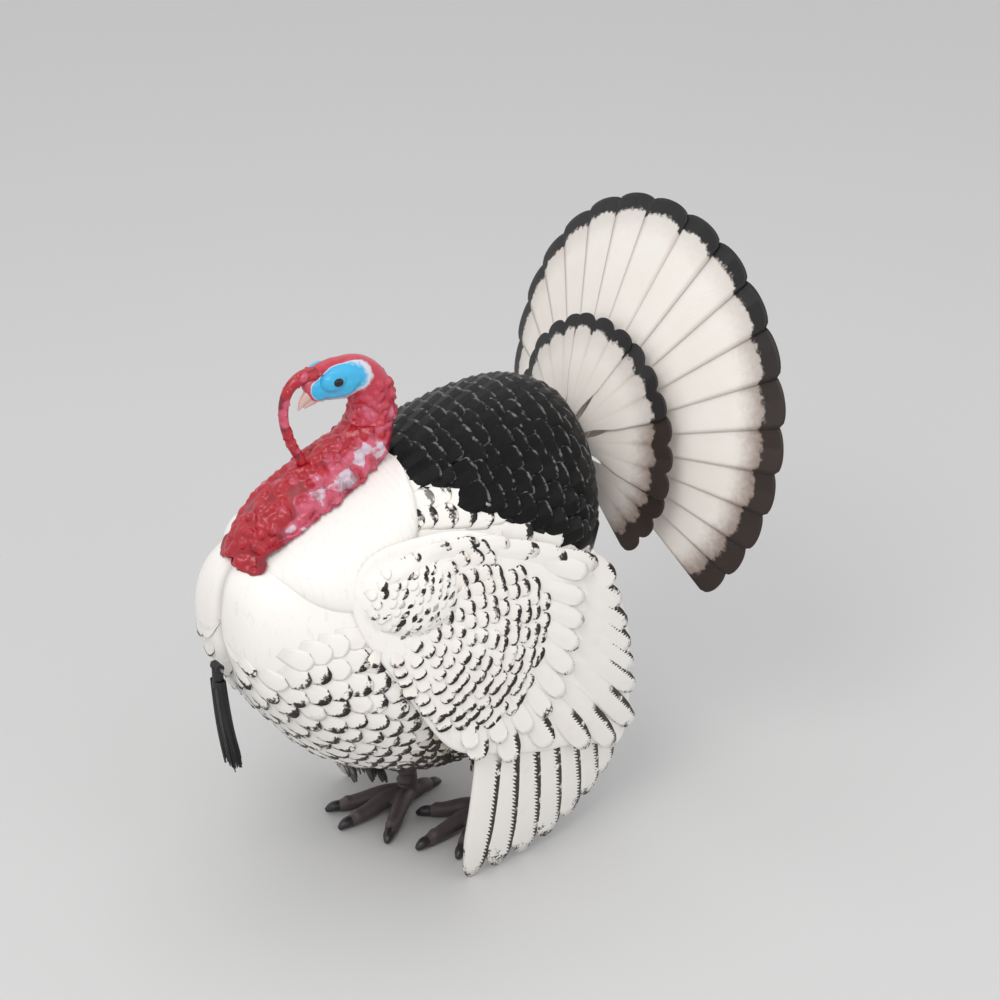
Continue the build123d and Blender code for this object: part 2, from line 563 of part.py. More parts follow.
feather_sheet = fan_sheet(FEATHER_LEAN, FEATHER_T, FAN_R + FAN_RISE + 10)
covert_sheet = fan_sheet(COVERT_LEAN, COVERT_T, COVERT_FAN_R + COVERT_RISE + 10)
FANS = [
    ("tail_feather", feather_sheet, FEATHER_AT, FEATHER_LAYER, FEATHERS_PER_SIDE, FEATHER_STEP,
     (FEATHER_HALF_ANGLE, FAN_R, FAN_RISE, FEATHER_ROUND)),
    ("tail_covert", covert_sheet, COVERT_AT, COVERT_LAYER, COVERTS_PER_SIDE, COVERT_STEP,
     (COVERT_HALF_ANGLE, COVERT_FAN_R, COVERT_RISE, COVERT_ROUND)),
]
for name, sheet, start, layer, per_side, step, shape in FANS:
    save(blade(sheet, start, 0, *shape), f"{name}_centre")
    for rank in range(1, per_side + 1):
        left_depth = start + (2 * rank - 1) * layer
        save(blade(sheet, left_depth, rank * step, *shape), f"{name}_left_{rank}")
        save(blade(sheet, left_depth + layer, -rank * step, *shape), f"{name}_right_{rank}")
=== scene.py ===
"""Looks of the full-strut turkey decoy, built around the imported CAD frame.

Sizes below are in millimetres, in the decoy's own layout: +Z up, beak to -Y, the bird's left +X, and Y
counted from a point between the feet. to_frame() turns them into the frame's metres.
"""
import json
from math import cos, pi, radians, sin

import bpy
import bmesh
import numpy as np
from mathutils import Matrix, Vector
from mathutils.kdtree import KDTree


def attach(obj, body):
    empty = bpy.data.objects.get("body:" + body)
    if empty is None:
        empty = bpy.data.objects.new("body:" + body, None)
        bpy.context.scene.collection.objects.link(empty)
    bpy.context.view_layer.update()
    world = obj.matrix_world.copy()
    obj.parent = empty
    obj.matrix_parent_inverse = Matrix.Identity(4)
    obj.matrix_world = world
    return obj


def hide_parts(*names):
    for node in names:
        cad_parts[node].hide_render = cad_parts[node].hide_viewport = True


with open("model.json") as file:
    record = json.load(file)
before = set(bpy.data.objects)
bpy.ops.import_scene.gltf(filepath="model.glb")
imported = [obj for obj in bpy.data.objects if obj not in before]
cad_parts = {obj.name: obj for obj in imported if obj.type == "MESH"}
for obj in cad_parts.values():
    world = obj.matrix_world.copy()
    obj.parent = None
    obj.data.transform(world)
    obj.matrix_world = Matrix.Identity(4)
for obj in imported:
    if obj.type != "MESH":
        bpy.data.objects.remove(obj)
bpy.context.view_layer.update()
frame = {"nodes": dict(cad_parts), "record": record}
rng = np.random.default_rng(7)

# ---------------------------------------------------------------- driving sizes
STAKE_Y = 4.0                                     # the stake bore's place in the layout
STAKE_BORE = next(m for m in frame["record"]["mounts"] if m["name"] == "stake_bore")
LAYOUT_Y = 1000 * STAKE_BORE["pos_m"][1] - STAKE_Y

# Body ellipses as (y, centre height, half width, half height), from the breast to the rump
BODY = np.array([
    (-262, 318, 0, 0), (-258, 316, 24, 28), (-246, 309, 56, 60), (-225, 297, 82, 86), (-185, 280, 106, 123),
    (-130, 272, 124, 154), (-60, 271, 132, 177), (10, 280, 133, 186), (65, 299, 127, 173),
    (100, 323, 110, 145), (120, 347, 90, 111), (130, 367, 72, 82), (131, 371, 40, 48), (131.5, 372, 0, 0),
], float)
COVER_EDGE = [(-58, 421), (111, 325)]             # side view line between the black back and the white body
WING_CENTRE, WING_HALF = (-10, 200), (150, 280, 330)   # ellipsoid that the wings' outer faces lie on
HINGE = (141, 392)                                # side view place of the fan's hub
FEATHER_STEP, COVERT_STEP = 12.3, 40.0            # degrees between fan feathers and between covert panels
CONE_START = 30.0                                 # distance from the hub at which the fan starts to lean
SIDES = (("left", 1), ("right", -1))
UP, DOWN = (0, 0, 1), (0, 0, -1)


def to_frame(points):
    """Layout millimetres to frame metres."""
    points = np.asarray(points, float)
    return (points + np.array([0, LAYOUT_Y, 0])) / 1000


# ---------------------------------------------------------------- mesh helpers
def new_piece(name, points, faces, attributes=None, material=None):
    """Smooth mesh object from layout points, with float attributes for its material to read."""
    mesh = bpy.data.meshes.new(name)
    mesh.from_pydata(to_frame(points).tolist(), [], [tuple(int(i) for i in face) for face in faces])
    for key, values in (attributes or {}).items():
        layer = mesh.attributes.new(key, "FLOAT", "POINT")
        layer.data.foreach_set("value", np.asarray(values, np.float32))
    mesh.polygons.foreach_set("use_smooth", [True] * len(mesh.polygons))
    mesh.validate()
    piece = bpy.data.objects.new(name, mesh)
    bpy.context.scene.collection.objects.link(piece)
    if material:
        mesh.materials.append(material)
    return piece


def finish_piece(piece, body, slot, *nodes):
    """Face the mesh outwards, let it ride on its body and stand for its CAD nodes."""
    mesh = bmesh.new()
    mesh.from_mesh(piece.data)
    bmesh.ops.recalc_face_normals(mesh, faces=mesh.faces)
    mesh.to_mesh(piece.data)
    mesh.free()
    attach(piece, body)
    if nodes:
        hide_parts(*nodes)
    return piece


def grid_faces(rows, columns, start=0, closed=False):
    """Quads of a rows by columns grid of points; closed joins the last column to the first."""
    faces = []
    for i in range(rows - 1):
        for j in range(columns if closed else columns - 1):
            k = (j + 1) % columns
            faces.append((start + i * columns + j, start + i * columns + k,
                          start + (i + 1) * columns + k, start + (i + 1) * columns + j))
    return faces


def swept_faces(rings, sides):
    """Tube of rings with the given sides, closed by a flat cap at each end."""
    return grid_faces(rings, sides, closed=True) + [tuple(range(sides))[::-1],
                                                    tuple(range((rings - 1) * sides, rings * sides))]


def plate_faces(rows, columns, start=0):
    """Closed plate: an upper grid, a lower grid and the rim between them."""
    lower = start + rows * columns
    faces = grid_faces(rows, columns, start)
    faces += [face[::-1] for face in grid_faces(rows, columns, lower)]
    rim = list(range(columns))
    rim += [i * columns + columns - 1 for i in range(1, rows)]
    rim += [(rows - 1) * columns + j for j in range(columns - 2, -1, -1)]
    rim += [i * columns for i in range(rows - 2, 0, -1)]
    for a, b in zip(rim, rim[1:] + rim[:1]):
        faces.append((start + b, start + a, lower + a, lower + b))
    return faces


class Pile:
    """Collects many small closed meshes into one piece, and notes the centres of its blobs."""

    def __init__(self):
        self.points, self.faces, self.attributes, self.centres, self.count = [], [], {}, [], 0

    def add(self, points, faces, **attributes):
        self.points.append(points)
        self.faces += [tuple(self.count + i for i in face) for face in faces]
        for key, values in attributes.items():
            filled = np.broadcast_to(np.asarray(values, float), (len(points),))
            self.attributes.setdefault(key, []).append(filled)
        self.count += len(points)

    def piece(self, name, material):
        attributes = {key: np.concatenate(values) for key, values in self.attributes.items()}
        return new_piece(name, np.concatenate(self.points), self.faces, attributes, material)


def smoothstep(low, high, value):
    """Eased share from 0 at low to 1 at high."""
    t = np.clip((value - low) / (high - low), 0, 1)
    return t * t * (3 - 2 * t)


def unit(vector):
    """Vector of length 1."""
    vector = np.asarray(vector, float)
    return vector / (np.linalg.norm(vector) + 1e-9)


def full_turn(count):
    """Even angles round a circle."""
    return np.linspace(0, 2 * pi, count, endpoint=False)


def run_length(points):
    """Distance along a line of points, from its first point."""
    return np.concatenate([[0], np.cumsum(np.linalg.norm(np.diff(points, axis=0), axis=1))])


def spline(x, xs, ys):
    """Natural cubic spline through (xs, ys), for one or more columns of ys."""
    xs, ys = np.asarray(xs, float), np.asarray(ys, float)
    n, h = len(xs), np.diff(xs)
    system, right = np.eye(n), np.zeros_like(ys)
    for i in range(1, n - 1):
        system[i, i - 1:i + 2] = h[i - 1], 2 * (h[i - 1] + h[i]), h[i]
        right[i] = 6 * ((ys[i + 1] - ys[i]) / h[i] - (ys[i] - ys[i - 1]) / h[i - 1])
    bend = np.linalg.solve(system, right)
    i = np.clip(np.searchsorted(xs, x) - 1, 0, n - 2)
    gap = h[i]
    t = x - xs[i]
    if ys.ndim > 1:
        gap, t = gap[:, None], t[:, None]
    slope = (ys[i + 1] - ys[i]) / gap - gap * (2 * bend[i] + bend[i + 1]) / 6
    return ys[i] + slope * t + bend[i] / 2 * t ** 2 + (bend[i + 1] - bend[i]) / (6 * gap) * t ** 3


# ---------------------------------------------------------------- surfaces that feathers lie on
BODY_STEPS = run_length(BODY[:, [0, 2]])
BODY_LENGTH = BODY_STEPS[-1]
FINE_STEPS = np.linspace(0, BODY_LENGTH, 600)
FINE_BODY = spline(FINE_STEPS, BODY_STEPS, BODY)
FINE_BODY[:, 2:] = np.maximum(FINE_BODY[:, 2:], 0.01)
FINE_Y = np.maximum.accumulate(FINE_BODY[:, 0])


def body_shape(step):
    """Y, centre height, half width and half height of the body at a step along it."""
    return [np.interp(step, FINE_STEPS, FINE_BODY[:, k]) for k in range(4)]


def breast_swell(x, y, z):
    """Two lobes of the breast with a cleft between them, a thigh behind the breast and a soft belly."""
    front = smoothstep(-175, -235, y)
    lobes = 9 * np.exp(-((np.abs(x) - 44) / 30) ** 2) * np.exp(-((z - 290) / 75) ** 2)
    cleft = -7 * np.exp(-(x / 8) ** 2) * np.exp(-((z - 300) / 60) ** 2)
    flank = 7 * np.exp(-((y + 165) / 60) ** 2) * np.exp(-((z - 215) / 55) ** 2)
    flank = flank * smoothstep(30, 80, np.abs(x))
    return front * (lobes + cleft) + flank


def body_surface(step, around, lift=0.0):
    """Point on the body at a step along its length and an angle around it, counted from the top."""
    y, centre, half_width, half_height = body_shape(step)
    x = half_width * np.sin(around)
    z = centre + half_height * np.cos(around)
    swell = breast_swell(x, y, z) + lift
    across = np.sin(around) * half_height
    upward = np.cos(around) * half_width
    size = np.hypot(across, upward) + 1e-6
    forward = -smoothstep(-190, -262, y) * 0.9
    length = np.sqrt(1 + forward ** 2)
    return np.stack([x + swell * across / size / length, y + swell * forward / length,
                     z + swell * upward / size / length], -1)


def body_point(step, around, lift=0.0):
    """One point on the body."""
    return body_surface(np.array([step]), np.array([around]), lift)[0]


def on_body(points, lift):
    """Nearest body surface below loose points, raised by lift."""
    step = np.interp(points[:, 1], FINE_Y, FINE_STEPS)
    _, centre, half_width, half_height = body_shape(step)
    around = np.arctan2(points[:, 0] / half_width, (points[:, 2] - centre) / half_height)
    return body_surface(step, around, lift)


def wing_bulge(y, z):
    """Relief of the folded wing: a rounded shoulder and a swelling over the coverts."""
    inside = np.clip(1 - ((y + 122) / 46) ** 2 - ((z - 351) / 35) ** 2, 0, 1)
    shoulder = 10 * inside ** 0.55
    coverts = 5 * np.exp(-((y + 62) / 62) ** 2 - ((z - 268) / 58) ** 2)
    return shoulder + coverts


def on_wing(points, lift):
    """Points of the left wing's outer face at the side view places of loose points."""
    y, z = points[:, 1], points[:, 2]
    along = (y - WING_CENTRE[0]) / WING_HALF[1]
    above = (z - WING_CENTRE[1]) / WING_HALF[2]
    x = WING_HALF[0] * np.sqrt(np.clip(1 - along ** 2 - above ** 2, 0.05, 1))
    normal = np.stack([x / WING_HALF[0] ** 2, along / WING_HALF[1], above / WING_HALF[2]], -1)
    normal /= np.linalg.norm(normal, axis=1)[:, None]
    flat = np.stack([x + wing_bulge(y, z), y, z], -1)
    return flat + normal * np.broadcast_to(lift, (len(points),))[:, None]


# ---------------------------------------------------------------- one feather
def lay_feather(pile, surface, root, direction, outward, length, width, lift, thickness=1.6, crown=1.2,
                rows=9, columns=7, blunt=0.5, waist=0.55, roll=0.0, **values):
    """Curved closed plate that starts at root, runs along direction and lies on the surface.

    lift is the tip's height, crown the rise of the middle over the edges, blunt how square the tip is,
    waist the root's share of the width and roll the rise of its far side.
    """
    side = unit(np.cross(outward, direction))
    u = np.linspace(0, 1, rows)[:, None]
    v = np.linspace(-1, 1, columns)[None, :]
    tip_round = np.sqrt(np.clip(1 - v ** 2, 0, 1))
    reach = u * length * (1 - (1 - blunt) * 0.38 * (1 - tip_round) * u ** 3)
    narrow = waist + (1 - waist) * np.sin(np.minimum(u * 1.25, 1) * pi / 2)
    spread = v * narrow * (1 - 0.5 * np.clip(u - 0.8, 0, 1)) * width / 2
    loose = (root + reach[..., None] * direction + spread[..., None] * side).reshape(-1, 3)
    height = (lift * u ** 1.6 + crown * (1 - v ** 2) * np.minimum(1, u * 3)
              + 0.25 * crown * np.exp(-(v / 0.14) ** 2) + roll * v * u).reshape(-1)
    over = surface(loose, height)
    under = surface(loose, height - thickness)
    pile.add(np.concatenate([over, under]), plate_faces(rows, columns),
             tip=np.tile((u + 0 * v).reshape(-1), 2), edge=np.tile((v + 0 * u).reshape(-1), 2),
             along=np.tile(reach.reshape(-1), 2), across=np.tile(spread.reshape(-1), 2),
             chance=rng.random(), under=np.repeat([0.0, 1.0], rows * columns), **values)


def feather_on_body(pile, step, around, pull, **shape):
    """Feather that starts at a place on the body and runs towards the tail, drawn aside by pull."""
    root = body_point(step, around)
    outward = unit(body_point(step, around, 1.0) - root)
    direction = unit(body_point(step + 4, around) - root + pull)
    lay_feather(pile, on_body, root, direction, outward, **shape)


def feather_on_side(pile, surface, mirror, root, heading, **shape):
    """Feather on a left wing surface, from a side view place and heading; mirror -1 puts it on the right."""
    start, raised = (surface(np.array([[0, *root]], float), lift)[0] for lift in (0.0, 1.0))
    ahead = surface(np.array([[0, root[0] + heading[0], root[1] + heading[1]]]), 0.0)[0]
    here = Pile()
    lay_feather(here, surface, start, unit(ahead - start), unit(raised - start), **shape)
    values = {key: made[0] for key, made in here.attributes.items()}
    pile.add(here.points[0] * (mirror, 1, 1), here.faces, **values)


# ---------------------------------------------------------------- materials
class Paint:
    """Small helper that builds one node material."""

    def __init__(self, name):
        self.material = bpy.data.materials.new(name)
        self.material.use_nodes = True
        self.nodes = self.material.node_tree.nodes
        self.links = self.material.node_tree.links
        self.shader = self.nodes["Principled BSDF"]
        self.place = self.nodes.new("ShaderNodeTexCoord").outputs["Object"]

    def put(self, socket, value):
        if isinstance(value, bpy.types.NodeSocket):
            self.links.new(value, socket)
        elif isinstance(value, tuple) and len(value) == 3 and socket.type == "RGBA":
            socket.default_value = (*value, 1)
        else:
            socket.default_value = value

    def read(self, key):
        node = self.nodes.new("ShaderNodeAttribute")
        node.attribute_name = key
        return node.outputs["Fac"]

    def maths(self, operation, a, b=0.0):
        node = self.nodes.new("ShaderNodeMath")
        node.operation = operation
        self.put(node.inputs[0], a)
        self.put(node.inputs[1], b)
        node.inputs[2].default_value = 0.0
        return node.outputs[0]

    def plus(self, a, b):
        return self.maths("ADD", a, b)

    def minus(self, a, b):
        return self.maths("SUBTRACT", a, b)

    def times(self, a, b):
        return self.maths("MULTIPLY", a, b)

    def larger(self, a, b):
        return self.maths("MAXIMUM", a, b)

    def absolute(self, a):
        return self.maths("ABSOLUTE", a)

    def ramp(self, value, low, high, start=0.0, end=1.0):
        """Smooth step of value from low to high."""
        node = self.nodes.new("ShaderNodeMapRange")
        node.interpolation_type = "SMOOTHSTEP"
        for socket, given in zip(node.inputs, (value, low, high, start, end)):
            self.put(socket, given)
        return node.outputs[0]

    def noise(self, scale, detail=4.0, rough=0.55, stretch=(1, 1, 1)):
        mapping = self.nodes.new("ShaderNodeMapping")
        self.links.new(self.place, mapping.inputs["Vector"])
        mapping.inputs["Scale"].default_value = stretch
        node = self.nodes.new("ShaderNodeTexNoise")
        self.links.new(mapping.outputs[0], node.inputs["Vector"])
        node.inputs["Scale"].default_value = scale
        node.inputs["Detail"].default_value = detail
        node.inputs["Roughness"].default_value = rough
        return node.outputs["Fac"]

    def swing(self, scale, detail, size):
        """Noise around zero."""
        return self.times(self.minus(self.noise(scale, detail), 0.5), size)

    def frayed(self, value, scale, size, low, high, detail=3):
        """Smooth step of value with noise added, which frays its border."""
        return self.ramp(self.plus(value, self.times(self.noise(scale, detail), size)), low, high)

    def mix(self, share, a, b):
        """Colour between a and b."""
        node = self.nodes.new("ShaderNodeMix")
        node.data_type = "RGBA"
        self.put(node.inputs[0], share)
        self.put(node.inputs[6], a)
        self.put(node.inputs[7], b)
        return node.outputs[2]

    def bump(self, height, strength, distance=0.001):
        node = self.nodes.new("ShaderNodeBump")
        self.put(node.inputs["Height"], height)
        node.inputs["Strength"].default_value = strength
        node.inputs["Distance"].default_value = distance
        self.links.new(node.outputs[0], self.shader.inputs["Normal"])

    def barbs(self, spacing=1.1, slant=0.9):
        """Fine slanting ridges either side of a feather's shaft, from -1 to 1."""
        out = self.times(self.absolute(self.read("across")), slant)
        wander = self.times(self.noise(260, 2), 1.6)
        run = self.plus(self.minus(self.read("along"), out), wander)
        return self.maths("SINE", self.times(run, 2 * pi / spacing))

    def colour(self, value):
        self.put(self.shader.inputs["Base Color"], value)

    def gloss(self, rough, grain=None, amount=0.15, coat=0.15, specular=0.45):
        """Roughness, raised unevenly by grain, under a thin clear coat."""
        if grain:
            rough = self.plus(rough, self.times(grain, amount))
        self.put(self.shader.inputs["Roughness"], rough)
        self.shader.inputs["Coat Weight"].default_value = coat
        self.shader.inputs["Coat Roughness"].default_value = 0.25
        self.shader.inputs["Specular IOR Level"].default_value = specular


WARM_WHITE, SHADE_WHITE, CREAM = (0.93, 0.91, 0.88), (0.72, 0.69, 0.66), (0.87, 0.79, 0.71)
INK, SEPIA = (0.004, 0.003, 0.003), (0.060, 0.034, 0.024)


def painted_feathers(name, mark_from=0.84, mark_share=0.75, rim=0.93, rim_from=0.55, one_sided=False,
                     tint=0.25, base=WARM_WHITE, underside_shade=0.85):
    """White feathers whose tips, or one edge, carry broken brush marks of black and brown.

    Marks start at the share mark_from of a feather's length and, along its edge, at the share rim of its
    half width past rim_from. mark_share is the share of feathers that have them.
    """
    p = Paint(name)
    tip = p.read("tip")
    edge = p.read("edge") if one_sided else p.absolute(p.read("edge"))
    ragged = p.swing(420, 3, 0.34)
    at_tip = p.ramp(p.plus(p.plus(tip, ragged), p.swing(55, 2, 0.5)), mark_from, mark_from + 0.07)
    serrated = p.plus(p.times(ragged, 0.8), p.times(p.barbs(5.0), 0.10))
    at_rim = p.times(p.ramp(p.plus(edge, serrated), rim, rim + 0.06), p.ramp(tip, rim_from, rim_from + 0.08))
    broken = p.ramp(p.noise(95, 3), 0.62 - 0.3 * mark_share, 0.72 - 0.3 * mark_share)
    chosen = p.ramp(p.plus(p.read("chance"), p.read("mark")), 1 - mark_share, 1.08 - mark_share)
    marks = p.times(p.times(p.larger(at_tip, at_rim), broken), chosen)
    # painted shade: every feather's underside is darkened towards black, so the gaps under the lifted tips
    # look shaded
    marks = p.larger(marks, p.times(p.read("under"), underside_shade))
    warm = p.mix(p.times(p.noise(22, 2), tint), base, (0.88, 0.80, 0.66))
    warm = p.mix(p.times(p.ramp(p.noise(31, 2), 0.55, 0.75), tint), warm, (0.84, 0.72, 0.72))
    white = p.mix(p.times(p.ramp(p.barbs(1.4), -0.2, 0.9), 0.10), warm, SHADE_WHITE)
    white = p.mix(p.times(p.ramp(tip, 0.45, 0.0), 0.55), white, SHADE_WHITE)
    ink = p.mix(p.ramp(p.noise(130, 3), 0.45, 0.75), INK, SEPIA)
    p.colour(p.mix(marks, white, ink))
    p.gloss(0.42, p.noise(60), 0.15)
    p.bump(p.barbs(1.1), 0.22, 0.0006)
    return p.material


def black_feathers():
    """Glossy black feathers whose tips and side edges are painted grey, as painted highlights."""
    p = Paint("black_back")
    tip = p.read("tip")
    side = p.times(p.ramp(p.absolute(p.read("edge")), 0.86, 1.0), p.ramp(tip, 0.5, 0.9))
    # painted highlight: broken grey along each black feather's tip and side edges
    edge_highlight = p.times(p.larger(p.frayed(tip, 220, 0.2, 1.00, 1.08), side), p.ramp(p.noise(150, 3), 0.45, 0.62))
    base = p.mix(p.noise(40, 3), (0.002, 0.002, 0.002), (0.006, 0.006, 0.006))
    p.colour(p.mix(p.times(edge_highlight, 0.8), base, (0.34, 0.34, 0.35)))
    p.gloss(0.24, p.noise(120, 3), 0.2, coat=0.12, specular=0.22)
    p.bump(p.barbs(1.6), 0.7, 0.0008)
    return p.material


def smooth_white(name, stretch=(1, 1, 1), scale=180.0, strength=0.25, marks=0.0):
    """Satin white moulding with fine striations."""
    p = Paint(name)
    fine = p.noise(scale, 3, 0.5, stretch=stretch)
    base = p.mix(p.times(p.noise(9, 3), 0.5), WARM_WHITE, (0.84, 0.79, 0.74))
    base = p.mix(p.ramp(fine, 0.56, 0.74, 0.0, 0.28), base, (0.66, 0.61, 0.58))
    base = p.mix(p.times(p.read("shade"), 0.8), base, (0.35, 0.30, 0.27))
    if marks:
        base = p.mix(p.ramp(p.noise(170, 4), 0.60, 0.66, 0.0, marks), base, SEPIA)
    p.colour(base)
    p.gloss(0.40, fine, 0.15)
    p.bump(fine, strength, 0.0008)
    return p.material


def fan_feathers(name, cream, band_mm):
    """Cream fan feather with a dark scalloped band at its tip, browner where tone is high."""
    p = Paint(name)
    tone, along = p.read("tone"), p.read("along")
    streak = p.barbs(1.5, 0.8)
    depth = p.plus(p.read("inset"), p.plus(p.swing(190, 4, 13.0), p.times(streak, 0.8)))
    width = p.plus(band_mm, p.times(tone, 6.0))
    band = p.ramp(depth, p.plus(width, 1.5), p.minus(width, 1.5))
    halo = p.times(p.ramp(depth, p.plus(width, 30.0), p.minus(width, 3.0)), p.plus(0.22, p.times(tone, 0.60)))
    # painted shade: darker brown along each blade's edges and between scallops, stronger towards the rim
    groove_shade = p.times(p.ramp(p.absolute(p.read("edge")), 0.72, 0.98), p.ramp(along, 40, 190, 0.06, 0.26))
    base = p.mix(p.noise(14, 3), cream, WARM_WHITE)
    base = p.mix(p.ramp(along, 150, 60, 0.0, 0.35), base, (0.80, 0.70, 0.62))
    base = p.mix(p.ramp(streak, 0.2, 1.0, 0.0, 0.12), base, SHADE_WHITE)
    base = p.mix(groove_shade, base, (0.30, 0.20, 0.15))
    base = p.mix(halo, base, (0.16, 0.085, 0.055))
    brown = p.mix(p.ramp(streak, 0.55, 1.0, 0.0, 0.35), (0.014, 0.007, 0.005), (0.20, 0.12, 0.09))
    p.colour(p.mix(band, base, p.mix(p.ramp(tone, 0.1, 1.2), INK, brown)))
    p.gloss(0.38, p.noise(90), 0.2, coat=0.1)
    p.bump(streak, 0.30, 0.0006)
    return p.material


def wattle_skin():
    """Crimson caruncled skin with pink and lavender-white lumps."""
    p = Paint("wattle_skin")
    pale = p.read("pale")
    red = p.mix(p.noise(70, 3), (0.50, 0.004, 0.014), (0.32, 0.004, 0.022))
    pink = p.mix(p.noise(110, 3), (0.58, 0.04, 0.10), (0.62, 0.15, 0.23))
    skin = p.mix(p.frayed(pale, 160, 0.25, 0.55, 0.85), red, pink)
    skin = p.mix(p.frayed(pale, 240, 0.2, 0.93, 1.02, detail=2), skin, (0.62, 0.52, 0.60))
    # painted shade: dark crimson in the crevices away from the lumps' centres
    p.colour(p.mix(p.ramp(p.read("lump"), 0.50, 0.05, 0.0, 0.85), skin, (0.13, 0.002, 0.010)))
    p.gloss(0.28, p.noise(150, 3), 0.2, coat=0.35, specular=0.5)
    p.bump(p.noise(420, 3), 0.25, 0.0006)
    return p.material


def face_skin():
    """Head: red band over the crown, sky-blue cheek with a pale edge, pink brow."""
    p = Paint("face_skin")
    cheek = p.plus(p.read("cheek"), p.swing(160, 3, 0.22))
    red = p.mix(p.noise(80, 3), (0.50, 0.006, 0.018), (0.52, 0.05, 0.10))
    skin = p.mix(p.frayed(p.read("pale"), 130, 0.3, 0.62, 1.05), red, (0.62, 0.16, 0.24))
    # painted shade: darker red in the crevices between the nape's lumps
    skin = p.mix(p.ramp(p.read("lump"), 0.35, 0.0, 0.0, 0.6), skin, (0.24, 0.01, 0.02))
    skin = p.mix(p.ramp(cheek, 0.36, 0.46), skin, (0.62, 0.66, 0.74))
    sky = p.mix(p.noise(60, 3), (0.012, 0.36, 0.70), (0.06, 0.52, 0.80))
    p.colour(p.mix(p.ramp(cheek, 0.47, 0.56), skin, sky))
    p.gloss(0.28, p.noise(150, 3), 0.2, coat=0.35, specular=0.5)
    p.bump(p.noise(320, 3), 0.2, 0.0006)
    return p.material


def plain_paint(name, light, dark, rough, scale=120.0, bump=0.25):
    """Moulded and painted plastic of one colour with slight mottling."""
    p = Paint(name)
    p.colour(p.mix(p.noise(scale, 4), light, dark))
    p.gloss(rough, p.noise(scale * 2, 3), 0.18)
    p.bump(p.noise(scale * 2.5, 4), bump, 0.0006)
    return p.material


def metal():
    """Lightly brushed steel."""
    p = Paint("screw_steel")
    p.colour(p.mix(p.noise(300, 3), (0.50, 0.50, 0.52), (0.34, 0.34, 0.36)))
    p.shader.inputs["Metallic"].default_value = 1.0
    p.put(p.shader.inputs["Roughness"], p.plus(0.28, p.times(p.noise(500, 3), 0.25)))
    p.bump(p.noise(700, 3), 0.15, 0.0003)
    return p.material


# ---------------------------------------------------------------- body halves, back cover and their feathers
def cover_angle(step):
    """Angle from the top at which the black back cover ends."""
    (y0, z0), (y1, z1) = COVER_EDGE
    y, centre, _, half_height = body_shape(step)
    line = z0 + (y - y0) * (z1 - z0) / (y1 - y0)
    return np.arccos(np.clip((line - centre) / half_height, -1, 1))


def build_body():
    """Skin of the two white body halves."""
    white = smooth_white("breast_white", stretch=(1, 1, 0.25))
    steps = np.linspace(0, BODY_LENGTH - 45, 190)
    top = cover_angle(steps)
    share = np.linspace(0, 1, 130)
    along = np.repeat(steps, len(share))
    faces = plate_faces(len(steps), len(share))
    for side, sign in SIDES:
        around = sign * (top[:, None] + (pi - top[:, None]) * share[None, :]).ravel()
        over, under = body_surface(along, around), body_surface(along, around, -3.5)
        x, y, z = over.T
        cleft = 0.5 * np.exp(-(x / 5) ** 2) * smoothstep(-200, -250, y) * smoothstep(230, 270, z)
        points = np.concatenate([over, under])
        piece = new_piece(f"breast_{side}", points, faces, {"shade": np.tile(cleft, 2)}, white)
        finish_piece(piece, "body", "breast", f"body_shell_{side}")


def under_wing(y, z):
    """Where the wing hides the body."""
    low = np.interp(y, [-150, -118, -88, -40, 20, 80, 140], [300, 235, 200, 175, 160, 140, 110])
    high = np.interp(y, [-150, -110, -58, 14, 105, 140], [380, 398, 396, 364, 308, 240])
    return y > -140 and low < z < high


def build_breast_feathers():
    """Rows of feathers over the white body, flat on the lobes and fuller towards the belly."""
    marked = painted_feathers("breast_feathers", mark_from=0.74, mark_share=0.80, rim=0.92, rim_from=0.75)
    for side, sign in SIDES:
        pile = Pile()
        for row, step in enumerate(np.arange(28, BODY_LENGTH - 70, 17.0)):
            _, _, half_width, half_height = body_shape(step)
            count = max(int(pi * (half_width + half_height) / 2 / 19), 3)
            for k in range(count):
                around = (k + 0.5 * (row % 2)) / count * pi + rng.normal(0, 0.012)
                _, y, z = body_point(step, sign * around)
                smooth_lobe = z > 336 - 36 * smoothstep(-205, -255, y) and y < -120
                off_shell = around < cover_angle(step) + 0.03 or around > pi - 0.02
                if smooth_lobe or off_shell or under_wing(y, z):
                    continue
                full = smoothstep(325, 255, z)
                mark = -0.05 if y > -135 and z > 300 else -0.30 + 0.4 * full
                feather_on_body(pile, step, sign * around, np.array([0, 0, -0.9]), length=rng.uniform(29, 34),
                                width=rng.uniform(22, 26), lift=0.9 + 1.9 * full, thickness=1.5,
                                crown=0.6 + 0.7 * full, blunt=0.3, mark=mark)
        finish_piece(pile.piece(f"breast_feathers_{side}", marked), "body", "breast")


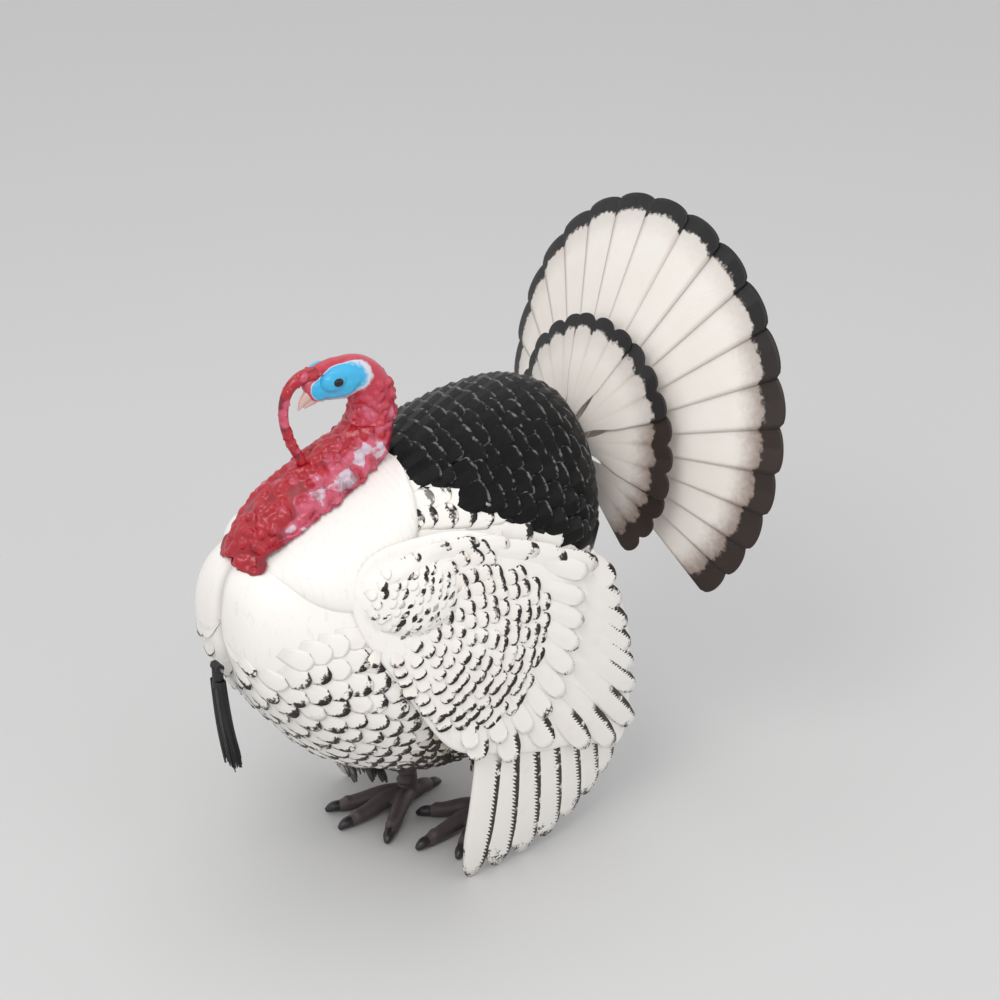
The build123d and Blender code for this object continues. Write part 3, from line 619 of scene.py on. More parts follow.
def build_back():
    """Black back cover and its broad shingles."""
    black = black_feathers()
    first = FINE_STEPS[np.argmax(cover_angle(FINE_STEPS[60:]) > 0.02) + 60]
    steps = np.linspace(first, BODY_LENGTH - 1, 150)
    share = np.linspace(-1, 1, 150)
    around = (np.maximum(cover_angle(steps), 0.01)[:, None] * share[None, :]).ravel()
    along = np.repeat(steps, len(share))
    points = np.concatenate([body_surface(along, around, 0.4), body_surface(along, around, -3.5)])
    zero = np.zeros(len(points))
    under = new_piece("back_cover_shell", points, plate_faces(len(steps), len(share)),
                      {"tip": zero + 0.5, "edge": zero, "along": zero, "across": zero}, black)
    finish_piece(under, "body", "back", "back_cover")
    pile = Pile()
    for row, step in enumerate(np.arange(first - 4, BODY_LENGTH - 78, 16.0)):
        _, _, half_width, half_height = body_shape(step)
        limit = cover_angle(step) + 0.05
        angle_step = 24.0 / (0.5 * (half_width + half_height))
        count = int(limit / angle_step) + 1
        for k in range(-count, count + 1):
            around = (k + 0.5 * (row % 2)) * angle_step + rng.normal(0, 0.008)
            if abs(around) > limit:
                continue
            feather_on_body(pile, step, around, np.array([0, 0, -0.7 * min(abs(around), 1)]),
                            length=rng.uniform(26, 33), width=rng.uniform(25, 30), lift=5.2, thickness=2.0,
                            crown=2.0, rows=10, columns=11, blunt=0.85, waist=0.8)
    finish_piece(pile.piece("back_feathers", black), "body", "back")


# ---------------------------------------------------------------- ruff
# Side view line of the ruff's lower edge
RUFF_LOW = [(-228, 378), (-218, 366), (-206, 354), (-190, 345), (-165, 341), (-140, 349), (-118, 364),
            (-98, 386), (-84, 410), (-74, 436)]
PLUG_AT, PLUG_TILT, PLUG_R, PLUG_DEPTH = (0, -160, 414), 25.0, 16.0, 46.0


def plug_frame():
    """Seat and axis of the neck's plug."""
    axis = Vector((0, -sin(radians(PLUG_TILT)), cos(radians(PLUG_TILT))))
    return Vector(PLUG_AT), axis


def cut_socket_hole(piece, radius):
    """Bore the neck socket's hole through a closed piece."""
    seat, axis = plug_frame()
    centre = Vector(to_frame([seat])[0])
    bpy.ops.mesh.primitive_cylinder_add(vertices=96, radius=radius / 1000, depth=0.16, location=centre,
                                        rotation=axis.to_track_quat("Z", "Y").to_euler())
    cutter = bpy.context.object
    cut = piece.modifiers.new("socket_hole", "BOOLEAN")
    cut.operation, cut.solver, cut.object = "DIFFERENCE", "EXACT", cutter
    apply_modifiers(piece)
    bpy.data.objects.remove(cutter)


def apply_modifiers(piece):
    """Replace the piece's mesh with the mesh that its modifiers make."""
    bpy.context.view_layer.update()
    evaluated = piece.evaluated_get(bpy.context.evaluated_depsgraph_get())
    mesh = bpy.data.meshes.new_from_object(evaluated)
    piece.modifiers.clear()
    old = piece.data
    piece.data = mesh
    bpy.data.meshes.remove(old)


def build_ruff():
    """Smooth white bib that hangs either side of the neck, with fine ridges that run down it."""
    ys = np.linspace(-228, -72, 130)
    steps = np.interp(ys, FINE_Y, FINE_STEPS)
    low = spline(ys, *np.array(RUFF_LOW, float).T)
    _, centre, _, half_height = body_shape(steps)
    limit = np.arccos(np.clip((low - centre) / half_height, -0.9, 1))
    share = np.linspace(-1, 1, 160)
    around = limit[:, None] * share[None, :]
    ends = np.linspace(-1, 1, len(ys))[:, None]
    front = smoothstep(-228, -196, ys)[:, None]
    edge = (1 - np.abs(share[None, :]) ** 7) ** 0.5 * (1 - np.abs(ends) ** 9) ** 0.5 * (0.12 + 0.88 * front)
    ridges = 0.30 * np.sin(ys[:, None] + 2.2 * np.sin(around * 3)) + 0.22 * np.sin(ys[:, None] * 1.9 + 1)
    puff = 6.5 + 5.5 * smoothstep(0.35, 0.8, np.abs(share))[None, :] + ridges
    height = (puff * edge).ravel()
    along, around = np.repeat(steps, len(share)), around.ravel()
    points = np.concatenate([body_surface(along, around, height), body_surface(along, around, -1.0)])
    piece = new_piece("ruff", points, plate_faces(len(ys), len(share)), {"shade": np.zeros(len(points))},
                      smooth_white("ruff_white", stretch=(0.6, 1.0, 0.12), scale=260, strength=0.4))
    cut_socket_hole(piece, PLUG_R + 4.2)
    finish_piece(piece, "body", "ruff", "neck_ruff")


# ---------------------------------------------------------------- lumpy skin of neck and head
def blob(pile, centre, radii, direction=UP, tone=0.0):
    """Small ellipsoid whose longest radius runs along direction."""
    sphere = bmesh.new()
    bmesh.ops.create_icosphere(sphere, subdivisions=2, radius=1.0)
    points = np.array([vertex.co for vertex in sphere.verts]) * np.asarray(radii)
    faces = [[vertex.index for vertex in face.verts] for face in sphere.faces]
    sphere.free()
    turn = np.array(Vector(direction).to_track_quat("Z", "Y").to_matrix())
    pile.add(points @ turn.T + np.asarray(centre), faces)
    pile.centres.append((*centre, tone))


def tube(pile, spine, sides=28, dense=40, flatten=1.0):
    """Closed swept tube through (x, y, z, radius) points; returns its finely divided spine."""
    spine = np.asarray(spine, float)
    steps = run_length(spine[:, :3])
    fine = spline(np.linspace(0, steps[-1], dense), steps, spine)
    heading = np.gradient(fine[:, :3], axis=0)
    heading /= np.linalg.norm(heading, axis=1)[:, None]
    wide = np.tile([1.0, 0, 0], (dense, 1))
    wide -= heading * (wide * heading).sum(1)[:, None]
    wide /= np.linalg.norm(wide, axis=1)[:, None]
    deep = np.cross(heading, wide)
    turn = full_turn(sides)[None, :, None]
    ring = wide[:, None] * np.cos(turn) * flatten + deep[:, None] * np.sin(turn)
    pile.add((fine[:, None, :3] + fine[:, None, 3:] * ring).reshape(-1, 3), swept_faces(dense, sides))
    return fine


def skin_over(pile, name, voxel, smoothing, material):
    """Melt the pile of blobs and tubes into one skin."""
    piece = new_piece(name, np.concatenate(pile.points), pile.faces, None, material)
    melt = piece.modifiers.new("melt", "REMESH")
    melt.mode, melt.voxel_size = "VOXEL", voxel / 1000
    soft = piece.modifiers.new("soften", "SMOOTH")
    soft.factor, soft.iterations = 0.5, smoothing
    apply_modifiers(piece)
    piece.data.polygons.foreach_set("use_smooth", [True] * len(piece.data.polygons))
    if not piece.data.materials:
        piece.data.materials.append(material)
    return piece


def cut_level(piece, height, keep_below):
    """Cut a closed piece at a height and cap it flat."""
    mesh = bmesh.new()
    mesh.from_mesh(piece.data)
    everything = list(mesh.verts) + list(mesh.edges) + list(mesh.faces)
    cut = bmesh.ops.bisect_plane(mesh, geom=everything, plane_co=(0, 0, height / 1000), plane_no=(0, 0, 1),
                                 clear_outer=keep_below, clear_inner=not keep_below)
    rim = [edge for edge in cut["geom_cut"] if isinstance(edge, bmesh.types.BMEdge)]
    bmesh.ops.contextual_create(mesh, geom=rim)
    mesh.to_mesh(piece.data)
    mesh.free()


def layout_points(piece):
    """Vertices of a piece in layout millimetres."""
    points = np.zeros(len(piece.data.vertices) * 3)
    piece.data.vertices.foreach_get("co", points)
    return points.reshape(-1, 3) * 1000 - np.array([0, LAYOUT_Y, 0])


def set_points(piece, points):
    """Move a piece's vertices to layout points."""
    piece.data.vertices.foreach_set("co", to_frame(points).ravel())
    piece.data.update()


def keep_above_floor(piece):
    """Flatten what would sink into the floor."""
    points = layout_points(piece)
    points[:, 2] = np.maximum(points[:, 2], 0.2)
    set_points(piece, points)


def set_values(piece, **values):
    """Give a piece float attributes."""
    for key, given in values.items():
        layer = piece.data.attributes.new(key, "FLOAT", "POINT")
        layer.data.foreach_set("value", np.asarray(given, np.float32))


def nearest_tones(points, centres):
    """Tone of the blobs around each point, and how close the nearest one is."""
    tree = KDTree(len(centres))
    for i, centre in enumerate(centres):
        tree.insert(centre[:3], i)
    tree.balance()
    tones, nearest = np.zeros(len(points)), np.zeros(len(points))
    for place, point in enumerate(points):
        found = tree.find_n(point, 3)
        weights = np.array([1 / (0.3 + distance) ** 4 for _, _, distance in found])
        tones[place] = np.dot(weights, [centres[i][3] for _, i, _ in found]) / weights.sum()
        nearest[place] = found[0][2]
    return tones, nearest


# Swept tubes are given as (x, y, z, radius) points
NECK_SPINE = [(0, -228, 368, 21), (0, -200, 396, 31), (0, -165, 416, 33), (0, -125, 436, 31),
              (0, -92, 461, 26), (0, -84, 482, 22.5), (0, -82, 492, 22)]
SEAM_HEIGHT = 482.0                               # level where the head turns on the neck


def spread_blobs(pile, fine, count, low, high, stop=None, arc=(-pi, pi), tone=None):
    """Scatter blobs over a swept tube; angle 0 is its upper side."""
    last = len(fine) - 1
    for _ in range(count):
        i = rng.integers(0, stop or last)
        angle = rng.uniform(*arc)
        heading = unit(fine[min(i + 1, last), :3] - fine[max(i - 1, 0), :3])
        upper = unit(np.cross([1.0, 0, 0], heading))
        outward = upper * cos(angle) + np.array([1.0, 0, 0]) * sin(angle)
        size = rng.uniform(low, high)
        centre = fine[i, :3] + outward * (fine[i, 3] - 0.25 * size)
        shade = tone(centre)
        radii = (size * 0.75, size * 0.85, size * rng.uniform(0.9, 1.35))
        blob(pile, centre, radii, heading + 0.6 * rng.normal(size=3), shade)


def neck_tone(centre):
    """Redder low on the breast side, paler along the sides near the ruff."""
    flank = smoothstep(12, 30, abs(centre[0]))
    low = smoothstep(-185, -225, centre[1])
    return float(np.clip(rng.uniform(0, 0.75) + 0.45 * flank - 0.55 * low, 0, 1))


def build_neck():
    """Lumpy neck that ends in a fold hanging over the breast."""
    pile = Pile()
    fine = tube(pile, NECK_SPINE)
    spread_blobs(pile, fine, 420, 4.6, 7.8, arc=(-0.62 * pi, 0.62 * pi), tone=neck_tone)
    for _ in range(24):
        angle = rng.uniform(-0.55, 0.55) * pi
        drop = rng.uniform(0, 9)
        blob(pile, (27 * sin(angle), -238 + 9 * (1 - cos(angle)), 372 - drop), (5, 5, 8), (0, -0.5, 1), 0.05)
    piece = skin_over(pile, "neck_skin", 1.25, 2, wattle_skin())
    cut_level(piece, SEAM_HEIGHT, keep_below=True)
    points = layout_points(piece)
    ground = on_body(points, 0.0)
    height = ((points - ground) * (on_body(points, 1.0) - ground)).sum(1)
    floor_height = 9.8 - 9 * smoothstep(-216, -234, points[:, 1])
    low = height < floor_height
    points[low] = on_body(points[low], floor_height[low])
    set_points(piece, points)
    tones, distance = nearest_tones(points, pile.centres)
    # lump is closeness to the nearest blob; the skin paint darkens low values as painted shade in the
    # crevices
    set_values(piece, pale=tones, lump=np.clip(1.35 - distance / 7.0, 0.25, 1))
    finish_piece(piece, "neck", "wattle", "neck")


def build_neck_plug(material):
    """Ribbed plug under the neck, turned about its axis from (distance along the axis, radius) points."""
    seat, axis = plug_frame()
    profile = [(-PLUG_DEPTH, PLUG_R - 2.5), (-PLUG_DEPTH + 2, PLUG_R - 0.5), (-PLUG_DEPTH + 3.5, PLUG_R),
               (-22, PLUG_R), (-21, PLUG_R - 1), (-18, PLUG_R - 1), (-17, PLUG_R), (8, PLUG_R)]
    sides = 48
    wide = unit(np.cross(axis, [0.3, 0.9, 0.2]))
    turn = full_turn(sides)[:, None]
    ring = wide * np.cos(turn) + np.cross(axis, wide) * np.sin(turn)
    points = np.concatenate([np.array(seat + axis * along) + ring * radius for along, radius in profile])
    piece = new_piece("neck_plug", points, swept_faces(len(profile), sides), None, material)
    finish_piece(piece, "neck", "wattle")


NAPE_SPINE = [(0, -86, 472, 22.5), (0, -84, 482, 22.5), (0, -82, 500, 21.5), (0, -87, 518, 20.5),
              (0, -101, 531, 19), (0, -118, 534, 17)]
EYE_AT = (20.7, -131, 537)


def build_head():
    """Skull, brow and eye sockets melted onto a lumpy nape."""
    pile = Pile()
    fine = tube(pile, NAPE_SPINE)
    blob(pile, (0, -118, 531), (20.5, 33, 20.5), tone=0.1)
    blob(pile, (0, -140, 528), (14, 17, 15), tone=0.5)
    blob(pile, (0, -149, 533), (9, 10, 9), tone=0.7)
    blob(pile, (0, -124, 545), (9, 26, 8), tone=0.05)
    spread_blobs(pile, fine, 130, 3.2, 5.6, stop=24, tone=lambda centre: rng.uniform(0, 0.8))
    for sign in (-1, 1):
        blob(pile, (sign * 13, -131, 536), (8.5, 15, 11), tone=0.1)
    piece = skin_over(pile, "head_skin", 0.95, 3, face_skin())
    cut_level(piece, SEAM_HEIGHT + 0.4, keep_below=False)
    points = layout_points(piece)
    x, y, z = points.T
    tones, distance = nearest_tones(points, pile.centres)
    from_eye = np.hypot((y + 128) / 31, (z - 533.5 - 0.10 * (y + 128)) / 17)
    cheek = (1 - 0.5 * from_eye) * smoothstep(5, 9, np.abs(x))
    # lump feeds the painted shade in the crevices between the nape's lumps
    lump = np.where(y > -104, np.clip(1.25 - distance / 6, 0.45, 1), 1.0)
    set_values(piece, pale=tones, lump=lump, cheek=cheek)
    finish_piece(piece, "head", "face", "head")


def build_snood():
    """Fleshy finger that rises from the brow and falls over the beak to the breast side of the neck."""
    pile = Pile()
    path = [(0, -140, 541, 8), (0, -158, 542, 6.6), (-1, -171, 534, 5.6), (-2, -178, 516, 5.0),
            (-1, -178, 496, 4.8), (1, -172, 476, 4.8), (3, -165, 460, 5.0)]
    fine = tube(pile, path, dense=60, flatten=0.95)
    spread_blobs(pile, fine, 60, 1.2, 2.2, tone=lambda centre: rng.uniform(0.1, 0.75))
    blob(pile, (3, -164.5, 458.5), (5, 5, 5), tone=0.2)
    piece = skin_over(pile, "snood_skin", 0.8, 3, wattle_skin())
    tones, distance = nearest_tones(layout_points(piece), pile.centres)
    # lump feeds the painted shade in the crevices between the snood's lumps
    set_values(piece, pale=tones, lump=np.clip(1.4 - distance / 6, 0, 1))
    finish_piece(piece, "head", "wattle", "snood")


def build_beak():
    """Upper and lower bill."""
    material = plain_paint("beak_horn", (0.72, 0.52, 0.46), (0.60, 0.36, 0.33), 0.32)
    pile = Pile()
    upper = [(0, -146, 525, 7.5), (1, -155, 521, 5.4), (1, -161, 515, 3.0), (1, -164, 510, 1.0)]
    tube(pile, upper, dense=24, flatten=0.8)
    tube(pile, [(0, -146, 518, 6), (1, -153, 515, 4.0), (1, -158, 511, 1.4)], dense=20, flatten=0.8)
    finish_piece(skin_over(pile, "beak_horn", 0.6, 2, material), "head", "beak", "beak")


def build_eyes():
    """Two flat black domes."""
    p = Paint("eye_black")
    p.colour(p.mix(p.noise(200), (0.004, 0.004, 0.005), (0.02, 0.012, 0.010)))
    p.gloss(0.18, coat=0.25, specular=0.3)
    pile = Pile()
    for sign in (-1, 1):
        blob(pile, EYE_AT * np.array([sign, 1, 1]), (3.4, 5.4, 4.4))
    piece = pile.piece("eyes_glossy", p.material)
    round_off = piece.modifiers.new("round", "SUBSURF")
    round_off.levels = round_off.render_levels = 2
    apply_modifiers(piece)
    finish_piece(piece, "head", "eye", "eyes")


# ---------------------------------------------------------------- beard
BEARD_TOP = (-265, 252)


def build_beard():
    """Bundle of long tapering bristles."""
    material = plain_paint("beard_bristle", (0.010, 0.010, 0.011), (0.003, 0.003, 0.003), 0.42, 300, bump=0.5)
    pile = Pile()
    t = np.linspace(0, 1, 9)
    turn = full_turn(6)
    ring = np.stack([np.cos(turn), np.sin(turn), 0 * turn], -1)
    radius = 1.7 * (1 - 0.7 * t ** 3)
    bow = 1.6 * np.sin(t * pi)
    for _ in range(120):
        start = rng.uniform(-1, 1, 2) * (6.0, 4.0)
        end = start * rng.uniform(1.3, 1.9) + rng.normal(0, 1.2, 2)
        end = np.array([np.clip(end[0], -12, 12), np.clip(end[1], -6, 6) + 12])
        length = rng.uniform(84, 106)
        path = np.stack([start[0] + (end[0] - start[0]) * t,
                         BEARD_TOP[0] + start[1] + (end[1] - start[1]) * t - bow,
                         BEARD_TOP[1] + 2 - length * t], -1)
        points = (path[:, None] + radius[:, None, None] * ring[None]).reshape(-1, 3)
        pile.add(points, swept_faces(len(t), len(turn)))
    finish_piece(pile.piece("beard_bristles", material), "beard", "beard", "beard")


# ---------------------------------------------------------------- legs and feet
FEET = {"right": (-37, -26), "left": (37, 24)}
# Toes as (degrees from straight ahead, length); the last one points back
TOES = {"right": [(-20, 84), (4, 86), (41, 80), (186, 34)], "left": [(-36, 66), (6, 92), (34, 80), (174, 34)]}


def build_legs():
    """Scaled shanks, toes with pads at their joints, and claws."""
    skin = plain_paint("leg_skin", (0.105, 0.078, 0.080), (0.060, 0.045, 0.047), 0.45, scale=90, bump=0.6)
    horn = plain_paint("claw_horn", (0.015, 0.013, 0.014), (0.035, 0.03, 0.03), 0.25, scale=200)
    for side, (x, y) in FEET.items():
        pile, claws = Pile(), Pile()
        shank = [(x, y, 118, 12), (x, y, 80, 10.5), (x, y, 45, 9.5), (x, y, 22, 10.5), (x, y - 2, 10, 11)]
        tube(pile, shank, dense=30)
        root = np.array([x, y, 11.0])
        for angle, length in TOES[side]:
            ahead = np.array([sin(radians(angle)), -cos(radians(angle)), 0])
            bow = 0 if length < 50 else 5

            def run(places, start=0.0, scale=length):
                """Spine along the toe from (distance, rise, radius) places."""
                return [(*(root + ahead * (start + scale * t) + (0, 0, rise)), r) for t, rise, r in places]

            toe = [(0, 0, 10), (0.3, bow - 2, 9.2), (0.6, -1, 8.4), (0.8, -3.2, 7.4), (0.9, -4.4, 6.2)]
            tube(pile, run(toe), dense=24)
            for joint in (0.32, 0.56, 0.78):
                centre = root + ahead * length * joint + (0, 0, bow * (1 - joint) - 2.2)
                blob(pile, centre, (9.2 - 2.0 * joint, 9.2 - 2.0 * joint, 7.4), ahead)
            claw = [(0, -4.0, 6.0), (6, -3.8, 5.9), (12, -5.6, 4.4), (16, -7.4, 2.2)]
            tube(claws, run(claw, length * 0.88, 1), dense=16, sides=16)
        for ring in range(5):
            blob(pile, (x, y - 2, 28 + 12 * ring), (11.2, 11.2, 3.4))
        foot = skin_over(pile, f"foot_{side}", 1.2, 4, skin)
        keep_above_floor(foot)
        finish_piece(foot, "body", "leg", f"leg_{side}")
        nails = skin_over(claws, f"claws_{side}", 0.8, 1, horn)
        keep_above_floor(nails)
        finish_piece(nails, "body", "leg")


# ---------------------------------------------------------------- thighs and belly tuft
def around_spine(fine):
    """Surface function of an upright swept tube, for feathers that hang round it."""
    def surface(points, lift):
        z = points[:, 2]
        x, y, radius = (np.interp(-z, -fine[:, 2], fine[:, k]) for k in (0, 1, 3))
        middle = np.stack([x, y], -1)
        away = points[:, :2] - middle
        away /= np.linalg.norm(away, axis=1)[:, None]
        flat = middle + away * (radius + lift)[:, None]
        return np.concatenate([flat, z[:, None]], 1)

    return surface


def build_thighs(grey):
    """Downy thigh round the top of each leg, with short cream and grey-brown feathers."""
    down = smooth_white("thigh_down", marks=0.5)
    for side, (x, y) in FEET.items():
        core, pile = Pile(), Pile()
        spine = [(x * 1.25, y - 6, 150, 34), (x * 1.15, y - 4, 122, 31), (x * 1.05, y - 2, 98, 23),
                 (x, y, 78, 14)]
        fine = tube(core, spine, dense=30)
        piece = skin_over(core, f"thigh_down_{side}", 2.2, 2, down)
        set_values(piece, shade=np.full(len(piece.data.vertices), 0.35))
        finish_piece(piece, "body", "breast")
        for row in range(7):
            centre, radius = fine[3 + row * 4, :3], fine[3 + row * 4, 3]
            count = max(int(2 * pi * radius / 13), 5)
            for k in range(count):
                turn = 2 * pi * (k + 0.5 * (row % 2)) / count
                outward = np.array([cos(turn), sin(turn), 0])
                lay_feather(pile, around_spine(fine), centre + outward * radius, np.array(DOWN), outward,
                            rng.uniform(17, 22), rng.uniform(13, 16), lift=2.6, crown=1.2, mark=0.2)
        finish_piece(pile.piece(f"thigh_feathers_{side}", grey), "body", "breast")


def build_flanks(grey):
    """Cream and grey-brown pleats between the breast and the folded wing."""
    for side, sign in SIDES:
        pile = Pile()
        for y in np.arange(-112, -40, 13.0):
            for height in np.arange(200 + 0.25 * (y + 80), 118, -12.0):
                place_y, place_z = y + rng.uniform(-3, 3), height + rng.uniform(-3, 3)
                step = np.interp(place_y, FINE_Y, FINE_STEPS)
                _, centre, _, half_height = body_shape(step)
                around = sign * np.arccos((place_z - centre) / half_height)
                root = body_point(step, around, 1.5)
                outward = unit(body_point(step, around, 3.0) - root)
                fall = np.array([0, 0.55, -0.85])
                lay_feather(pile, on_body, root, unit(fall - outward * np.dot(outward, fall)), outward,
                            rng.uniform(20, 27), rng.uniform(13, 17), lift=5.0, crown=1.6, mark=0.1)
        finish_piece(pile.piece(f"flank_feathers_{side}", grey), "body", "breast")


def build_tuft():
    """Dark brown feathers that hang under the belly, in front of the legs."""
    dark = painted_feathers("belly_tuft", mark_from=0.2, mark_share=1.0, rim=0.6, rim_from=0.0,
                            base=(0.16, 0.12, 0.10))
    pile = Pile()
    for _ in range(34):
        x = rng.uniform(-62, 12)
        root = on_body(np.array([[x, rng.uniform(-130, -88), 60.0]]), -3.0)[0]
        outward = unit(on_body(root[None], 1.0)[0] - root)
        direction = unit(np.array([0.1 * x / 40, 0.25, -0.95 + 0.2 * rng.random()]))

        def straight_down(points, lift):
            return points + lift[:, None] * outward

        lay_feather(pile, straight_down, root, direction, outward, rng.uniform(32, 44), rng.uniform(12, 16),
                    lift=0.5, mark=0.5)
    finish_piece(pile.piece("belly_tuft", dark), "body", "breast")


# ---------------------------------------------------------------- folded wings
# Side view outlines of the wing and of the far edge of its small coverts
WING_OUTLINE = [(-174, 350), (-155, 388), (-110, 402), (-58, 400), (14, 368), (105, 312), (138, 240),
                (146, 158), (140, 92), (80, 122), (20, 140), (-40, 160), (-88, 180), (-118, 220), (-150, 280)]
COVERT_EDGE = [(-40, 357), (9, 318), (7, 297), (3, 282), (-7, 246), (-27, 222), (-57, 206), (-97, 218),
               (-130, 256)]
SHOULDER = (-124, 352)
FLOW_START = (-150, 328)                          # wrist, from which the coverts fan out


def inside_outline(points, outline):
    """Which (y, z) points lie inside a closed outline."""
    y, z = points[:, 0], points[:, 1]
    inside = np.zeros(len(points), bool)
    for (y0, z0), (y1, z1) in zip(outline, outline[1:] + outline[:1]):
        crosses = (z0 > z) != (z1 > z)
        inside ^= crosses & (y < (y1 - y0) * (z - z0) / ((z1 - z0) or 1e-9) + y0)
    return inside


def smooth_outline(outline, count):
    """Even points on a closed smooth curve through an outline's corners."""
    corners = np.array(outline + outline[:3], float)
    steps = run_length(corners)
    places = np.linspace(steps[1], steps[1] + steps[len(outline)], count, endpoint=False)
    return spline(places, steps, corners)


def covert_reach(angle):
    """Distance from the flow's start to the covert edge in a direction, in degrees below the rear."""
    edge = np.array(COVERT_EDGE, float) - FLOW_START
    around = np.degrees(np.arctan2(-edge[:, 1], edge[:, 0]))
    order = np.argsort(around)
    return np.interp(angle, around[order], np.hypot(*edge.T)[order])


def build_wing_base(side, mirror, white):
    """Closed plate under the feathers, with the smooth rim and shoulder showing through."""
    ring = smooth_outline(WING_OUTLINE, 220)
    middle = np.array([-20.0, 262.0])
    share = np.linspace(0, 1, 60)[1:]
    rows, columns = len(share), len(ring)
    size, last = rows * columns, (rows - 1) * columns
    flat = (middle + (ring[None] - middle) * share[:, None, None]).reshape(-1, 2)
    loose = np.concatenate([np.zeros((size, 1)), flat], 1)
    over = on_wing(loose, np.repeat(3.6 * np.sqrt(1 - share ** 10) - 2.4, columns))
    under = on_wing(loose, -5.0)
    hub = on_wing(np.array([[0, *middle], [0, *middle]]), np.array([2.5, -5.0]))
    points = np.concatenate([over, under, hub]) * (mirror, 1, 1)
    faces = grid_faces(rows, columns, closed=True)
    faces += [face[::-1] for face in grid_faces(rows, columns, size, closed=True)]
    for j in range(columns):
        k = (j + 1) % columns
        faces += [(2 * size, k, j), (2 * size + 1, size + j, size + k),
                  (last + j, last + k, size + last + k, size + last + j)]
    piece = new_piece(f"wing_base_{side}", points, faces, {"shade": np.zeros(len(points))}, white)
    finish_piece(piece, "body", "wing", f"wing_{side}")


def in_shoulder(y, z, margin=1.0):
    """Whether a side view place lies on the rounded shoulder."""
    return ((y - SHOULDER[0]) / 44) ** 2 + ((z - SHOULDER[1]) / 33) ** 2 < margin


def build_coverts(side, mirror, marked):
    """Rows of small feathers fanning out from the wrist."""
    pile = Pile()
    for row, radius in enumerate(np.arange(24, 205, 11.5)):
        count = int(radius * radians(140) / 12.0)
        for k in range(count + 1):
            angle = -32 + 140 * (k + 0.5 * (row % 2)) / max(count, 1) + rng.normal(0, 1.2)
            if radius > covert_reach(angle) - 6:
                continue
            fall = radians(angle)
            root = (FLOW_START[0] + radius * cos(fall), FLOW_START[1] - radius * sin(fall))
            if in_shoulder(*root, 0.72) or not inside_outline(np.array([root]), WING_OUTLINE)[0]:
                continue
            grown = smoothstep(20, 150, radius)
            length = 17 + 7 * grown + rng.uniform(-1, 2)
            width = 13 + 4.5 * grown + rng.uniform(-1, 1)
            fall -= radians(rng.normal(0, 5) - 6)
            heading = (cos(fall), -sin(fall))
            feather_on_side(pile, on_wing, mirror, root, heading, length=length, width=width, lift=2.6,
                            thickness=1.4, crown=0.8, blunt=0.75, mark=0.25)
    finish_piece(pile.piece(f"wing_coverts_{side}", marked), "body", "wing")


def build_shoulder(side, mirror, marked):
    """Small flat scales on the rounded shoulder."""
    pile = Pile()
    for row, height in enumerate(np.arange(388, 318, -8.0)):
        for k in range(12):
            y = -168 + 8.5 * (k + 0.5 * (row % 2)) + rng.normal(0, 0.9)
            if not in_shoulder(y, height):
                continue
            turn = radians(rng.normal(-38, 12))
            feather_on_side(pile, on_wing, mirror, (y, height), (cos(turn), sin(turn)),
                            length=rng.uniform(12, 15), width=rng.uniform(9, 12), lift=1.5, thickness=1.0,
                            crown=0.4, blunt=0.6, rows=6, columns=5, mark=0.05)
    finish_piece(pile.piece(f"wing_shoulder_{side}", marked), "body", "wing")


# Long wing feathers as (root y, root z, tip y, tip z, width), lowest layer first
QUILLS = [(84, 333, 111, 296, 24), (66, 318, 119, 270, 25), (58, 306, 127, 242, 26),
          (50, 296, 132, 216, 26), (42, 286, 138, 190, 26), (32, 276, 144, 160, 26), (22, 262, 150, 112, 27),
          (8, 250, 118, 102, 27), (-6, 238, 74, 124, 27), (-22, 226, 20, 150, 27), (-42, 218, -26, 150, 26),
          (-66, 212, -66, 166, 24)]
# Middle row that covers the quills' roots
MIDDLE_ROW = [(14, 354, 74, 320, 22), (4, 334, 66, 296, 21), (4, 316, 62, 272, 21), (2, 300, 54, 250, 21),
              (-2, 284, 46, 226, 21), (-8, 262, 34, 204, 21), (-18, 244, 16, 188, 20),
              (-34, 232, -8, 178, 20), (-54, 222, -40, 178, 19), (-78, 222, -74, 182, 18)]
# Row along the wing's top edge
TOP_ROW = [(4, 362, 92, 322, 24), (-26, 378, 52, 342, 24), (-54, 384, 20, 360, 22), (-80, 388, -12, 376, 22),
           (-104, 386, -44, 386, 20), (-126, 380, -74, 390, 19), (-146, 368, -104, 388, 17)]


def build_quills(side, mirror, rows):
    """Rows of long feathers, each given as (name, places, material, lift, points along a feather)."""
    for name, row, material, lift, dense in rows:
        pile = Pile()
        for y0, z0, y1, z1, width in row:
            along = np.array([y1 - y0, z1 - z0], float)
            length = np.linalg.norm(along)
            feather_on_side(pile, on_wing, mirror, (y0, z0), along / length, length=length, width=width,
                            lift=lift, thickness=2.2, crown=1.7, rows=dense, columns=9, blunt=0.55, waist=0.7,
                            roll=0.9, mark=0.5)
        finish_piece(pile.piece(f"{name}_{side}", material), "body", "wing")


